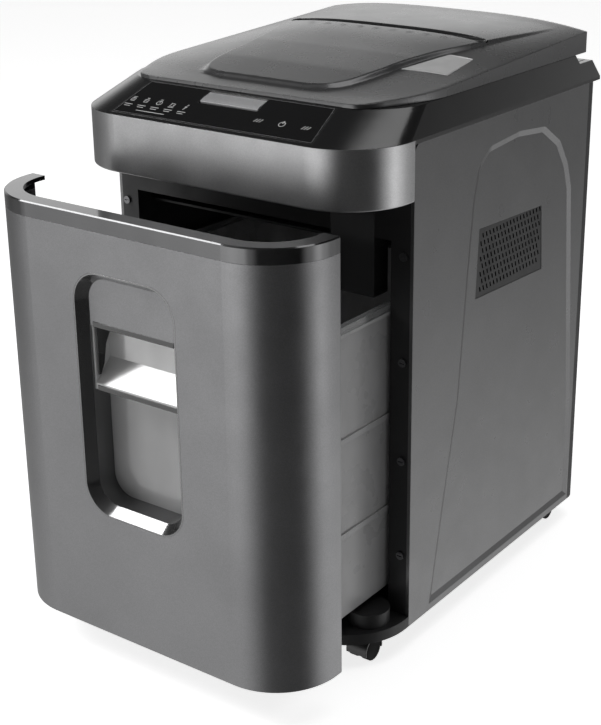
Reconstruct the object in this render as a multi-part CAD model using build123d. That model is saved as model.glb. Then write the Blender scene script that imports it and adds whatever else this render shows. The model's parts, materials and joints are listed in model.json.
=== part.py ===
"""Auto-feed paper shredder on casters, with a pull-out bin and a rear-hinged lid.

Millimetres. +X is the user's right, +Y runs to the back and +Z is up. The origin is on the floor,
under the middle of the whole machine as it stands with its bin partly drawn out.
Lengths marked "from the front frame" are measured backwards from the face that the closed drawer meets.
"""
import math
import os

from build123d import *

# ---------------------------------------------------------------- driving dimensions
body_width = 350.0          # across the side panels
body_depth = 354.0          # front frame face to back of the rear cover
nose_depth = 72.0           # how far the head and the closed drawer stand ahead of the front frame
nose_radius = 66.0          # plan radius of the head's and the drawer's front corners
drawer_pull = 114.0         # how far the drawer stands open at rest
drawer_proud = 2.0          # drawer front wider than the body, each side
gap = 0.3                   # running and assembly clearance between neighbouring pieces
wall = 3.0                  # moulded shell thickness
edge_radius = 1.6           # rounding of the painted band's lower edge

floor_gap = 26.0            # floor to underside of the base
base_thickness = 11.0
panel_top = 501.0           # top edge of the side panels
band_height = 54.5          # painted band round the head
band_bottom = 450.0
drawer_bottom = 37.5
cap_height = 14.4           # glossy trim on the drawer front
drawer_top = 448.4
header_bottom = 411.0       # top edge of the drawer opening
ceiling_height = 396.0      # roof of the bin bay
ceiling_thickness = 2.5
frame_opening = 302.0       # width of the drawer opening
pillar_depth = 22.0
panel_thickness = 3.5
recess_depth = 1.9
recess_slope = 6.0          # width of the recess's sloping edge
rear_wrap = 24.0            # how far the rear cover comes round the corners
cover_thickness = 3.0
grille_columns = 18
grille_rows = 8
screw_heights = (100.8, 199.6, 298.0, 398.6)
screw_inset = 10.0          # frame screws, in from the outside of the body

# drawer front window and grip, measured from the outer face of the drawer front
window_width = 118.0
window_top = 397.0
window_bottom = 162.0
window_radius = 30.0
bezel_depth = 10.0
bezel_slope = 8.5           # how far the bezel narrows the window
sleeve_end = 33.0           # end of the straight tunnel behind the bezel
sleeve_wall = 2.5
grip_bottom = 347.0         # lower edge of the grip plate
grip_thickness = 4.0
scoop_rim = 283.0           # front lip of the finger scoop
inner_frame_thickness = 3.0
sill_depth = 20.0           # lip along the drawer front's lower edge
cap_ledge = 17.0            # flat top of the trim, front to back

# bin
bin_width = 292.0
bin_floor = 60.0
bin_top = 344.0
bin_length = 365.0
bin_wall = 2.5
bin_radius = 18.0
flange_proud = 3.5          # rim flange beyond the bin wall
rim_height = 7.0
rib_heights = (145.0, 240.0)
rib_height = 6.0
rib_proud = 1.5
drawer_reach = 140.0        # how much further the drawer comes out from rest

# drawer slides
slide_offset = 96.0
slide_width = 24.0
slide_height = 11.0
slide_sheet = 2.5

# lid, measured from the front frame
lid_front = -17.0
lid_rear = 349.0
lid_half = 160.0
lid_corner = (118.0, 60.0)  # where the cut front corners start across and back
lid_front_top = 531.0
lid_rear_top = 547.0
lid_wall = 3.0
seam_height = 528.0         # top of the deck under the lid
plateau_front = 12.0
plateau_front_top = 538.3
plateau_throat_top = 558.4
plateau_rear_top = 560.0
plateau_half = ((48.0, 12.0), (70.0, 18.0), (84.0, 42.0), (89.0, 105.0), (99.0, 155.0), (124.0, 205.0),
                (143.0, 262.0), (152.0, 340.0))
plateau_slope = 0.36        # run over rise of the plateau's sides
window_corners = ((96.0, 111.0), (101.0, 190.0), (124.0, 183.0), (138.0, 99.0))
throat_length = 232.0
throat_width = 8.0
throat_centre = 215.0
throat_wall = 3.0
throat_bottom = 514.0
hinge_setback = 12.0        # hinge axis ahead of the lid's rear edge
hinge_rise = 8.0            # hinge axis above the seam
hinge_radius = 3.0
hinge_offset = 118.0        # lug and knuckle place, each side of the middle
lug_thickness = 6.0
knuckle_width = 9.5
lug_radius = 5.5
rear_ledge = 520.0          # lowered top of the deck behind the feed bay
pin_clearance = 0.06

# feed bay, pressure plate and latch
bay_width = 240.0
bay_front = 32.0
bay_rear = 322.0
bed_top = 506.0
bed_thickness = 2.5
plate_front = 56.0
plate_rear = 203.0
plate_bottom = 513.0
plate_sheet = 2.0
plate_half = 102.0
pivot_height = 526.0
pivot_radius = 2.0
latch_half = 33.0
latch_front = -37.0
latch_rear = -23.0
latch_thickness = 5.0

# cutters, in the bay above the bin
cutter_axis_height = 455.0
cutter_spacing = 38.0
cutter_radius = 21.0
spacer_radius = 16.4
disc_thickness = 2.2
disc_pitch = 5.4
disc_count = 43
journal_radius = 7.0
end_plate_offset = 122.0    # inner face of the cutter end plates
end_plate_thickness = 4.0
feed_offset = 28.0          # feed roller axis ahead of the throat
feed_reach = 42.0           # feed roller axis from the front cutter axis
feed_radius = 11.0
feed_journal = 5.0
tyre_places = (-80.0, -30.0, 30.0, 80.0)
tyre_width = 20.0
tyre_wall = 3.0
bush_wall = 2.4
rod_radius = 4.0

# gears
tooth_pressure = 25.0
addendum_share = 0.8
dedendum_share = 1.1
backlash = 0.22
sync_module = 2.0
sync_teeth = 19
idler_teeth = 15
final_module = 1.5
final_teeth = 56
final_pinion_teeth = 14
first_module = 1.25
first_teeth = 48
pinion_teeth = 12
gear_width = 9.0
gear_step = 2.0             # axial room between neighbouring gears
gear_pin_radius = 3.0
compound_heading = -20.0    # from the rear cutter to the compound gear, degrees above the back
motor_heading = -10.0
motor_radius = 28.0
motor_length = 100.0

# casters
wheel_radius = 11.5
wheel_width = 8.5
hood_radius = 14.0
hood_wall = 1.6
web_width = 5.0
axle_radius = 2.0
caster_inset = 29.0         # stem in from the outside of the body
front_caster = -25.0        # stem places, from the front frame
rear_caster = 328.0
caster_trail = 8.0
stem_radius = 4.0
boss_radius = 20.0
boss_height = 15.0

# mains inlet and switch, on the rear cover
inlet_x = -141.0
inlet_z = 428.0
inlet_width = 27.0
inlet_height = 20.0
inlet_depth = 22.0
switch_z = 462.0
switch_width = 20.0
switch_height = 26.0
rocker_width = 14.0
rocker_height = 20.0

# bin sensor housing under the head
sensor_left = 85.0
sensor_right = 133.0
sensor_bottom = 354.0
sensor_depth = 22.0

# ---------------------------------------------------------------- derived places
half_width = body_width / 2
body_front = (nose_depth + drawer_pull - body_depth) / 2   # Y of the front frame's face
body_rear = body_front + body_depth
nose_front = body_front - nose_depth
drawer_half = half_width + drawer_proud
drawer_end = body_front - drawer_pull                       # Y of the drawer front's rear edges
drawer_face = drawer_end - nose_depth
base_top = floor_gap + base_thickness
boss_top = base_top + boss_height
band_top = band_bottom + band_height
cap_bottom = drawer_top - cap_height
inside_half = half_width - panel_thickness
cover_inside = body_rear - cover_thickness
liner_inside = frame_opening / 2
liner_thickness = 2.0
ceiling_top = ceiling_height + ceiling_thickness
bay_half = bay_width / 2
bin_setback = sleeve_end + inner_frame_thickness
bin_front = drawer_face + bin_setback
bin_rear = bin_front + bin_length
rim_half = bin_width / 2 + flange_proud
throat_y = body_front + throat_centre
rear_cutter_y = throat_y + cutter_spacing / 2
front_cutter_y = throat_y - cutter_spacing / 2
hinge_y = body_front + lid_rear - hinge_setback
hinge_z = seam_height + hinge_rise
caster_x = half_width - caster_inset
block_outside = end_plate_offset + end_plate_thickness
sync_x = block_outside + 1.0
final_x = sync_x + gear_width + gear_step
first_x = final_x + gear_width + gear_step
gear_end = first_x + gear_width


def deep(y):
    """Y of a place measured back from the front frame."""
    return body_front + y


# ---------------------------------------------------------------- small helpers
def box(x0, x1, y0, y1, z0, z1):
    """A block between two corners."""
    block = Box(x1 - x0, y1 - y0, z1 - z0)
    return Pos((x0 + x1) / 2, (y0 + y1) / 2, (z0 + z1) / 2) * block


def prism(points, plane, amount):
    """A straight prism on a polygon of (u, v) points in a plane."""
    return extrude(plane * make_face(Polyline(*points, close=True)), amount)


def rod_x(x0, x1, y, z, radius):
    """A cylinder along X."""
    return Pos((x0 + x1) / 2, y, z) * Rot(0, 90, 0) * Cylinder(radius, x1 - x0)


def both_sides(make):
    """The pieces that make(side) gives for the left and the right of the machine."""
    return [make(-1), make(1)]


def group(solids):
    """Loose solids that are stored together in one node."""
    return Compound(children=[s for piece in solids for s in piece.solids()])


def round_edges(piece, edges, radius):
    """A fillet on the chosen edges."""
    return fillet(edges, radius) if len(edges) else piece


def nose_outline(half, front, rear, radius, inset=0.0):
    """Plan outline with rounded front corners, as a face at height 0."""
    h, f, r = half - inset, front + inset, max(radius - inset, 1.0)
    with BuildLine() as line:
        Line((-h, rear), (-h, f + r))
        RadiusArc((-h, f + r), (-h + r, f), -r)
        Line((-h + r, f), (h - r, f))
        RadiusArc((h - r, f), (h, f + r), -r)
        Line((h, f + r), (h, rear))
        Line((h, rear), (-h, rear))
    return make_face(line.line)


def slab(face, z0, z1):
    """The plan face as a solid between two heights."""
    return extrude(Pos(0, 0, z0) * face, z1 - z0)


def window_outline(inset):
    """The drawer window's rounded outline in the XZ plane, drawn in by inset."""
    width = window_width - 2 * inset
    height = window_top - window_bottom - 2 * inset
    radius = min(window_radius - inset, width / 2 - 1, height / 2 - 1)
    return Pos(0, (window_bottom + window_top) / 2) * RectangleRounded(width, height, radius)


def from_front(face, depth0, depth1):
    """An XZ outline as a solid between two depths behind the drawer's face."""
    plane = Plane((0, drawer_face + depth0, 0), x_dir=(1, 0, 0), z_dir=(0, -1, 0))
    return extrude(plane * face, -(depth1 - depth0))


# ---------------------------------------------------------------- gears
def gear_face(module, teeth, phase):
    """Stub involute gear outline, with a tooth centred at the phase angle in radians."""
    pitch = module * teeth / 2
    base = pitch * math.cos(math.radians(tooth_pressure))
    tip, root = pitch + addendum_share * module, pitch - dedendum_share * module
    half_tooth = math.pi / (2 * teeth) - backlash / (2 * pitch)

    def involute(radius):
        angle = math.acos(min(1.0, base / radius))
        return math.tan(angle) - angle

    start = max(base, root)
    radii = [start + (tip - start) * step / 3 for step in range(4)]
    flank = [(r, half_tooth + involute(pitch) - involute(r)) for r in radii]
    if root < start:
        flank.insert(0, (root, flank[0][1]))
    points = []
    for tooth in range(teeth):
        centre = phase + 2 * math.pi * tooth / teeth
        sides = [(r, centre - a) for r, a in flank] + [(r, centre + a) for r, a in reversed(flank)]
        points += [(r * math.cos(a), r * math.sin(a)) for r, a in sides]
    return make_face(Polyline(*points, close=True))


def gear(module, teeth, phase, x0, y, z, width, bore):
    """A spur gear about an X axis. The phase is measured from +Y towards +Z."""
    plane = Plane((x0, y, z), x_dir=(0, 1, 0), z_dir=(1, 0, 0))
    wheel = extrude(plane * gear_face(module, teeth, phase), width)
    return wheel - rod_x(x0 - 1, x0 + width + 1, y, z, bore) if bore else wheel


def mesh_phase(teeth_a, phase_a, place_a, teeth_b, place_b):
    """Phase of gear b so that its gaps take the teeth of gear a."""
    heading = math.atan2(place_b[1] - place_a[1], place_b[0] - place_a[0])
    lead = heading - phase_a
    return heading + math.pi + math.pi / teeth_b + lead * teeth_a / teeth_b


def third_corner(a, b, reach_a, reach_b, side):
    """The point at the two reaches from a and b, on the chosen side of the line from a to b."""
    dy, dz = b[0] - a[0], b[1] - a[1]
    span = math.hypot(dy, dz)
    along = (reach_a ** 2 - reach_b ** 2 + span ** 2) / (2 * span)
    out = math.sqrt(reach_a ** 2 - along ** 2) * side
    return a[0] + (dy * along - dz * out) / span, a[1] + (dz * along + dy * out) / span


# gear places in the YZ plane
front_cutter_place = (front_cutter_y, cutter_axis_height)
rear_cutter_place = (rear_cutter_y, cutter_axis_height)
sync_radius = sync_module * sync_teeth / 2
feed_y = throat_y - feed_offset
feed_z = cutter_axis_height + math.sqrt(feed_reach ** 2 - (front_cutter_y - feed_y) ** 2)
feed_place = (feed_y, feed_z)
idler_reach = sync_module * (sync_teeth + idler_teeth) / 2
idler_place = third_corner(front_cutter_place, feed_place, idler_reach, idler_reach, 1)
final_reach = final_module * (final_teeth + final_pinion_teeth) / 2
compound_place = (rear_cutter_y + final_reach * math.cos(math.radians(compound_heading)),
                  cutter_axis_height + final_reach * math.sin(math.radians(compound_heading)))
first_reach = first_module * (first_teeth + pinion_teeth) / 2
motor_place = (compound_place[0] + first_reach * math.cos(math.radians(motor_heading)),
               compound_place[1] + first_reach * math.sin(math.radians(motor_heading)))

front_sync_phase = 0.0
rear_sync_phase = mesh_phase(sync_teeth, front_sync_phase, front_cutter_place, sync_teeth, rear_cutter_place)
idler_phase = mesh_phase(sync_teeth, front_sync_phase, front_cutter_place, idler_teeth, idler_place)
feed_phase = mesh_phase(idler_teeth, idler_phase, idler_place, sync_teeth, feed_place)
final_phase = 0.0
compound_phase = mesh_phase(final_teeth, final_phase, rear_cutter_place, final_pinion_teeth, compound_place)
first_phase = 0.0
pinion_phase = mesh_phase(first_teeth, first_phase, compound_place, pinion_teeth, motor_place)


# ---------------------------------------------------------------- base and body
def base_plate():
    """Slab with a rounded nose and a blind socket boss over each caster."""
    nose = slab(nose_outline(half_width, nose_front, body_front, nose_radius), floor_gap, base_top)
    rear = box(-inside_half, inside_half, body_front - 1, cover_inside, floor_gap, base_top)
    rear &= slab(rear_outline(cover_thickness, body_front - 2), floor_gap, base_top)
    plate = nose + rear
    for x, y in caster_places():
        plate += Pos(x, y, (base_top + boss_top) / 2) * Cylinder(boss_radius, boss_height)
    for x, y in caster_places():
        bore = Cylinder(stem_radius + pin_clearance, boss_top - wall - floor_gap + 1)
        plate -= Pos(x, y, (boss_top - wall + floor_gap - 1) / 2) * bore
    return plate


def caster_places():
    """Stem places, front pair first and left before right."""
    rows = (deep(front_caster), deep(rear_caster))
    return [(side * caster_x, y) for y in rows for side in (-1, 1)]


recess_outline = ((36, 33), (58, 138), (80, 235), (92, 353), (101, 429), (110, 460), (130, 474),
                  (186, 478), (237, 473), (271, 452), (290, 425), (300, 398), (324, 149), (327, 33))
grille_outline = ((117, 397), (240, 391.5), (246, 323), (113, 328))


def side_prism(points, side, inner, outer):
    """A prism on a (back, up) outline, between two distances from the middle plane."""
    plane = Plane((side * inner, 0, 0), x_dir=(0, 1, 0), z_dir=(1, 0, 0))
    outline = [(deep(y), z) for y, z in points]
    return prism(outline, plane, side * (outer - inner))


def side_panel(side):
    """Flat side with a shallow shaped recess and an opening for the grille."""
    x0, x1 = sorted((side * inside_half, side * half_width))
    panel = box(x0, x1, body_front, body_rear - rear_wrap, floor_gap, panel_top)
    front_top = panel.edges().filter_by(Axis.X).sort_by(Axis.Z)[-2:].sort_by(Axis.Y)[0:1]
    panel = fillet(front_top, 8)
    panel -= recess_tool(side)
    return panel - side_prism(grille_outline, side, inside_half - 1, half_width + 1)


def recess_tool(side):
    """Shallow sloping-edged tool for the shaped recess in a side."""
    outline = [(deep(y), z) for y, z in recess_outline]
    wide = make_face(Polyline(*outline, close=True))
    wide = fillet([v for v in wide.vertices() if v.Y > 300], 14)
    narrow = offset(wide, -recess_slope)
    outer = Plane((side * half_width, 0, 0), x_dir=(0, 1, 0), z_dir=(1, 0, 0))
    inner = Plane((side * (half_width - recess_depth), 0, 0), x_dir=(0, 1, 0), z_dir=(1, 0, 0))
    return loft([outer * wide, inner * narrow])


def side_grille(side):
    """Slanted insert with a block of slots."""
    inner, outer = inside_half, half_width - recess_depth - 0.4
    insert = side_prism(grille_outline, side, inner, outer)
    slots = []
    for column in range(grille_columns):
        for row in range(grille_rows):
            y, z = 121.5 + column * 6.6 + (row % 2) * 3.3, 333 + row * 7.6
            points = ((y, z), (y + 2.2, z), (y + 0.6, z + 5), (y - 1.6, z + 5))
            slots.append(side_prism(points, side, inner - 1, outer + 1))
    return insert - slots


def rear_outline(inset, front):
    """Plan of the body's back end with rounded corners, drawn in by inset."""
    h, r = half_width - inset, rear_wrap - 4.0 - inset
    rear = body_rear - inset
    with BuildLine() as line:
        Line((-h, front), (-h, rear - r))
        RadiusArc((-h, rear - r), (-h + r, rear), r)
        Line((-h + r, rear), (h - r, rear))
        RadiusArc((h - r, rear), (h, rear - r), r)
        Line((h, rear - r), (h, front))
        Line((h, front), (-h, front))
    return make_face(line.line)


def rear_cover():
    """Wrapped back panel with vents, an inlet opening and a switch opening."""
    start = body_rear - rear_wrap
    cover = slab(rear_outline(0, start), floor_gap, panel_top)
    cover -= slab(rear_outline(cover_thickness, start - 1), floor_gap - 1, panel_top + 1)
    cuts = [box(-60 + 12.0 * n, -55 + 12.0 * n, cover_inside - 1, body_rear + 1, 420, 480)
            for n in range(11)]
    cuts.append(rear_block(inlet_x, inlet_z, inlet_width, inlet_height))
    cuts.append(rear_block(inlet_x, switch_z, switch_width, switch_height))
    cuts += [rod_y(x, cover_inside - 1, body_rear + 1, z, 1.6) for x, z in cover_screw_places()]
    cuts += [rod_y(x, body_rear - 2.0, body_rear + 1, z, 3.4) for x, z in cover_screw_places()]
    return cover - cuts


def rear_block(x, z, width, height, y0=None, y1=None):
    """A block through the rear cover, centred on (x, z)."""
    start = cover_inside - 1 if y0 is None else y0
    end = body_rear + 1 if y1 is None else y1
    return box(x - width / 2, x + width / 2, start, end, z - height / 2, z + height / 2)


def rod_y(x, y0, y1, z, radius):
    """A cylinder along Y."""
    return Pos(x, (y0 + y1) / 2, z) * Rot(90, 0, 0) * Cylinder(radius, y1 - y0)


def cover_screw_places():
    """Screws round the rear cover."""
    return [(x, z) for x in (-140.0, 140.0) for z in (80.0, 250.0, 388.0)]


def cover_screws():
    """Flush screws that hold the rear cover."""
    screws = []
    for x, z in cover_screw_places():
        head = rod_y(x, body_rear - 2.0, body_rear - 0.2, z, 3.4)
        screws.append(head + rod_y(x, cover_inside - 5, body_rear - 2.0, z, 1.6))
    return group(screws)


def front_frame():
    """Dark frame round the drawer opening, with the floor of the head's nose."""
    frame = box(-inside_half, inside_half, body_front, deep(14), header_bottom, band_bottom + 2.5)
    frame += slab(nose_outline(half_width, nose_front, body_front, nose_radius, wall),
                  band_bottom, band_bottom + 2.5)
    for side in (-1, 1):
        x0, x1 = sorted((side * liner_inside, side * inside_half))
        frame += box(x0, x1, body_front, deep(pillar_depth), base_top, header_bottom + 1)
    frame -= box(sensor_left, sensor_right, body_front - 1, deep(15), header_bottom - 1, band_bottom)
    holes = [rod_y(x, body_front - 1, deep(12), z, 1.8) for x, z in frame_screw_places()]
    return frame - holes


def frame_screw_places():
    """Screws down both posts of the front frame."""
    return [(side * (half_width - screw_inset), z) for side in (-1, 1) for z in screw_heights]


def frame_screws():
    """Pan-head screws in the posts."""
    screws = []
    for x, z in frame_screw_places():
        head = rod_y(x, body_front - 2.2, body_front, z, 4.0)
        head -= box(x - 2.6, x + 2.6, body_front - 3, body_front - 1.2, z - 0.5, z + 0.5)
        screws.append(head + rod_y(x, body_front, deep(12), z, 1.8))
    return group(screws)


def sensor_housing():
    """Box that hangs below the head at the right and looks down into the bin."""
    shell = box(sensor_left, sensor_right, body_front, deep(sensor_depth), sensor_bottom, band_bottom)
    inner = box(sensor_left + 2.5, sensor_right - 2.5, deep(2.5), deep(sensor_depth - 2.5),
                sensor_bottom + 2.5, band_bottom + 1)
    eye = Pos((sensor_left + sensor_right) / 2, deep(sensor_depth / 2), sensor_bottom) * Cylinder(5, 8)
    return shell - inner - eye


def bay_liner():
    """Walls, back and slotted roof round the bin."""
    low, start, back = boss_top + 2, deep(pillar_depth), deep(334)
    walls = []
    for side in (-1, 1):
        x0, x1 = sorted((side * liner_inside, side * (liner_inside + liner_thickness)))
        walls.append(box(x0, x1, start, back, low, ceiling_height))
    outer = liner_inside + liner_thickness
    walls.append(box(-outer, outer, back, back + 2.5, low, ceiling_height))
    roof = box(-inside_half, inside_half, start, cover_inside, ceiling_height, ceiling_top)
    roof &= slab(rear_outline(cover_thickness, start), ceiling_height, ceiling_top)
    roof -= box(-bay_half, bay_half, throat_y - 42, throat_y + 42, ceiling_height - 1, ceiling_top + 1)
    return roof + walls


def slide_rails():
    """Two channels on the base that hold the drawer's runners."""
    rails = []
    for side in (-1, 1):
        x0 = side * slide_offset - slide_width / 2
        x1 = x0 + slide_width
        rail = box(x0, x1, deep(2), deep(330), base_top, base_top + slide_height)
        rail -= box(x0 + slide_sheet, x1 - slide_sheet, deep(1), deep(331),
                    base_top + slide_sheet, base_top + slide_height - slide_sheet)
        rail -= box(x0 + 7, x1 - 7, deep(1), deep(331), base_top + slide_sheet, base_top + 20)
        rails.append(rail)
    return group(rails)


# ---------------------------------------------------------------- head
def head_band():
    """Painted band round the front of the head."""
    ring = slab(nose_outline(half_width, nose_front, body_front, nose_radius), band_bottom, band_top)
    inner = nose_outline(half_width, nose_front, body_front + 1, nose_radius, wall)
    ring -= slab(inner, band_bottom - 1, band_top + 1)
    low = [e for e in ring.edges() if e.center().Z < band_bottom + 0.1 and abs(e.center().X) < half_width]
    outside = [e for e in low if e.center().Y < body_front - 1 and on_outline(e)]
    return fillet(outside, edge_radius)


def on_outline(edge):
    """True for an edge that lies on the head's outer outline."""
    point = edge.position_at(0.5)
    h, r = half_width, nose_radius
    x, y = abs(point.X), point.Y
    if x > h - r and y < nose_front + r:
        return abs(math.hypot(x - h + r, y - nose_front - r) - r) < 0.1
    return abs(x - h) < 0.1 or abs(y - nose_front) < 0.1


def deck_outer(inset, drop):
    """Sloped upper body from the band's top edge to the lid's edge."""
    rear = body_rear - inset
    low = nose_outline(half_width, nose_front, rear, nose_radius, inset)
    high = nose_outline(lid_half - 1.9, deep(-13), rear, 60, inset)
    return loft([Pos(0, 0, band_top - drop) * low, Pos(0, 0, 531 - drop) * high])


def slope_plane():
    """Plane of the sloped front face, with its origin on the band's top front edge."""
    rise, run = 531 - band_top, deep(-13) - nose_front
    return Plane((0, nose_front, band_top), x_dir=(1, 0, 0), z_dir=(0, -rise, run))


def deck_cover():
    """Gloss top moulding: sloped front, shoulders, lid seat and hinge lugs."""
    skirt = nose_outline(half_width, body_front, body_rear, 1.5)
    deck = deck_outer(0, 0) + slab(skirt, panel_top, band_top + 0.01)
    inner = nose_outline(half_width, nose_front, body_rear, nose_radius, wall)
    deck -= deck_outer(wall, wall + 2.5)
    deck -= slab(inner, panel_top - 1, band_top - wall - 2.4)
    deck -= box(-200, 200, nose_front - 1, body_rear + 1, seam_height, seam_height + 20)
    ring = box(-148, 148, deep(-8), deep(334), seam_height - wall, seam_height)
    ring &= deck_outer(1, 1)
    deck += ring - box(-200, 200, deep(326), body_rear, rear_ledge, seam_height + 1)
    deck -= box(-200, 200, deep(326), body_rear + 1, rear_ledge, seam_height + 20)
    ledge = box(-157, 157, deep(323.5), body_rear - 1, rear_ledge - wall, rear_ledge)
    riser = box(-157, 157, deep(323.5), deep(326), rear_ledge - wall, seam_height)
    deck += [ledge, riser]
    edge = bay_half + bed_thickness
    deck -= box(-edge, edge, deep(bay_front - bed_thickness), deep(bay_rear + bed_thickness), 490, 560)
    deck -= slope_plane() * Pos(0, 0, -2) * extrude(panel_face(), 6)
    deck -= box(-latch_half - 1, latch_half + 1, deep(latch_front - 2.4), deep(latch_rear + 0.6), 505, 560)
    for side in (-1, 1):
        ear = box(-2, 2, -3.6, 6.0, -3.6, 8.0)
        deck += Pos(side * (latch_half + 3.2), latch_pivot_y(), latch_pivot_z()) * ear
        x0 = side * hinge_offset + (0 if side > 0 else -lug_thickness)
        lug = box(x0, x0 + lug_thickness, hinge_y - lug_radius, hinge_y + lug_radius, rear_ledge - 1, hinge_z)
        deck += lug + rod_x(x0, x0 + lug_thickness, hinge_y, hinge_z, lug_radius)
    deck -= rod_x(-60, 60, latch_pivot_y(), latch_pivot_z(), 1.5 + pin_clearance)
    return deck - rod_x(-200, 200, hinge_y, hinge_z, hinge_radius)


def panel_face():
    """Outline of the glossy control panel on the sloped face."""
    return make_face(Polyline((-115, 4.5), (115, 4.5), (107, 57), (-107, 57), close=True))


def control_panel():
    """Gloss black panel let into the sloped face."""
    panel = slope_plane() * Pos(0, 0, -2) * extrude(panel_face(), 2.2)
    return panel - box(-latch_half - 1, latch_half + 1, deep(latch_front - 2.4), deep(latch_rear + 0.6), 505, 560)


def latch_pivot_y():
    """The latch tab's pivot, under its rear edge."""
    return deep(latch_rear - 3)


def latch_pivot_z():
    """Height of the latch tab's pivot."""
    return 512.5


def latch_tab():
    """Pressed tab that frees the lid."""
    points = [(deep(latch_front), 516.5), (deep(latch_front), 520.5), (deep(latch_front + 3), 522.5),
              (deep(latch_rear), 526.0), (deep(latch_rear), latch_pivot_z()),
              (latch_pivot_y() - 3, latch_pivot_z()), (latch_pivot_y() - 3, 516.5)]
    plane = Plane((-latch_half, 0, 0), x_dir=(0, 1, 0), z_dir=(1, 0, 0))
    tab = prism(points, plane, 2 * latch_half)
    tab += rod_x(-latch_half - 4.8, latch_half + 4.8, latch_pivot_y(), latch_pivot_z(), 1.5)
    return tab + rod_x(-latch_half, latch_half, latch_pivot_y(), latch_pivot_z(), 3.0)


def feed_tray():
    """Tray for the paper stack, open over the feed roller and the cutters."""
    y0, y1 = deep(bay_front), deep(bay_rear)
    t = bed_thickness
    tray = box(-bay_half - t, bay_half + t, y0 - t, y1 + t, bed_top - t, seam_height)
    tray -= box(-bay_half, bay_half, y0, y1, bed_top, seam_height + 1)
    return tray - box(-bay_half + 3, bay_half - 3, throat_y - 44, throat_y + 10, bed_top - t - 1, bed_top + 1)


def lid_hinge_rod():
    """Steel rod through the deck's lugs and the lid's knuckles."""
    reach = hinge_offset + lug_thickness + 0.5
    return rod_x(-reach, reach, hinge_y, hinge_z, hinge_radius)


# ---------------------------------------------------------------- cutter block
shaft_places = ((front_cutter_place, journal_radius), (rear_cutter_place, journal_radius),
                (feed_place, feed_journal))
rod_places = ((throat_y - 45, 443.0), (throat_y - 55, 490.0), (throat_y + 50, 485.0))


def cutter_plates():
    """Steel end plates that carry the shafts, the tie rods and the motor."""
    y0, y1 = throat_y - 64, min(motor_place[0] + motor_radius, cover_inside - 1)
    plates = []
    for side in (-1, 1):
        x0, x1 = sorted((side * end_plate_offset, side * block_outside))
        plate = box(x0, x1, y0, y1, ceiling_top, bed_top - bed_thickness)
        for (y, z), radius in shaft_places:
            plate -= rod_x(x0 - 1, x1 + 1, y, z, radius + pin_clearance + bush_wall)
        plate -= rod_x(x0 - 1, x1 + 1, *motor_place, 12.0)
        for y, z in (idler_place, compound_place):
            plate -= rod_x(x0 - 1, x1 + 1, y, z, gear_pin_radius)
        plates.append(plate)
    return group(plates)


def bearing_bushes():
    """Plain bushes for the shafts in both end plates."""
    bushes = []
    for side in (-1, 1):
        x0, x1 = sorted((side * end_plate_offset, side * block_outside))
        for (y, z), radius in shaft_places:
            bush = rod_x(x0, x1, y, z, radius + pin_clearance + bush_wall)
            bushes.append(bush - rod_x(x0 - 1, x1 + 1, y, z, radius + pin_clearance))
    return group(bushes)


def tie_rods():
    """Rods that hold the end plates apart."""
    return group([rod_x(-end_plate_offset, end_plate_offset, y, z, rod_radius) for y, z in rod_places])


def stripper_bars():
    """Guide bars along the outside of both cutters."""
    near = cutter_radius + 1.5
    front = box(-end_plate_offset, end_plate_offset, front_cutter_y - near - 4, front_cutter_y - near, 452, 472)
    rear = box(-end_plate_offset, end_plate_offset, rear_cutter_y + near, rear_cutter_y + near + 4, 445, 465)
    return group([front, rear])


def cutter(y, first_disc, x_end):
    """Stepped shaft with a row of discs, about an X axis."""
    left = -(disc_count - 1) * disc_pitch / 2 + first_disc
    profile = [(-block_outside - 0.6, 0), (-block_outside - 0.6, journal_radius),
               (-end_plate_offset + 0.6, journal_radius), (-end_plate_offset + 0.6, spacer_radius)]
    for disc in range(disc_count):
        x = left + disc * disc_pitch
        if x + disc_thickness / 2 > end_plate_offset - 1:
            continue
        x0, x1 = x - disc_thickness / 2, x + disc_thickness / 2
        profile += [(x0, spacer_radius), (x0, cutter_radius), (x1, cutter_radius), (x1, spacer_radius)]
    profile += [(end_plate_offset - 0.6, spacer_radius), (end_plate_offset - 0.6, journal_radius),
                (x_end, journal_radius), (x_end, 0)]
    plane = Plane((0, y, cutter_axis_height), x_dir=(1, 0, 0), z_dir=(0, -1, 0))
    return revolve(plane * make_face(Polyline(*profile, close=True)),
                   Axis((0, y, cutter_axis_height), (1, 0, 0)))


def sync_gear(teeth, phase, place, bore):
    """One wheel of the gear row next to the right end plate."""
    return gear(sync_module, teeth, phase, sync_x, *place, gear_width, bore)


def rear_cutter():
    """Driven cutter with its timing gear."""
    shaft = cutter(rear_cutter_y, 0.0, final_x + gear_width)
    return shaft + sync_gear(sync_teeth, rear_sync_phase, rear_cutter_place, 0)


def front_cutter():
    """Second cutter, turned the other way by the timing gears."""
    shaft = cutter(front_cutter_y, disc_pitch / 2, sync_x + gear_width)
    return shaft + sync_gear(sync_teeth, front_sync_phase, front_cutter_place, 0)


def final_gear():
    """Large reduction gear on the rear cutter's end."""
    return gear(final_module, final_teeth, final_phase, final_x, *rear_cutter_place, gear_width, journal_radius)


def feed_shaft():
    """Pick-up roller shaft with its gear."""
    y, z = feed_place
    shaft = rod_x(-block_outside - 0.6, sync_x + gear_width, y, z, feed_journal)
    for x in tyre_places:
        shaft += rod_x(x - tyre_width / 2, x + tyre_width / 2, y, z, feed_radius - tyre_wall)
    return shaft + sync_gear(sync_teeth, feed_phase, feed_place, 0)


def feed_tyres():
    """Rubber sleeves on the pick-up roller."""
    y, z = feed_place
    sleeves = []
    for x in tyre_places:
        sleeve = rod_x(x - tyre_width / 2, x + tyre_width / 2, y, z, feed_radius)
        sleeves.append(sleeve - rod_x(x - tyre_width, x + tyre_width, y, z, feed_radius - tyre_wall))
    return group(sleeves)


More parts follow.
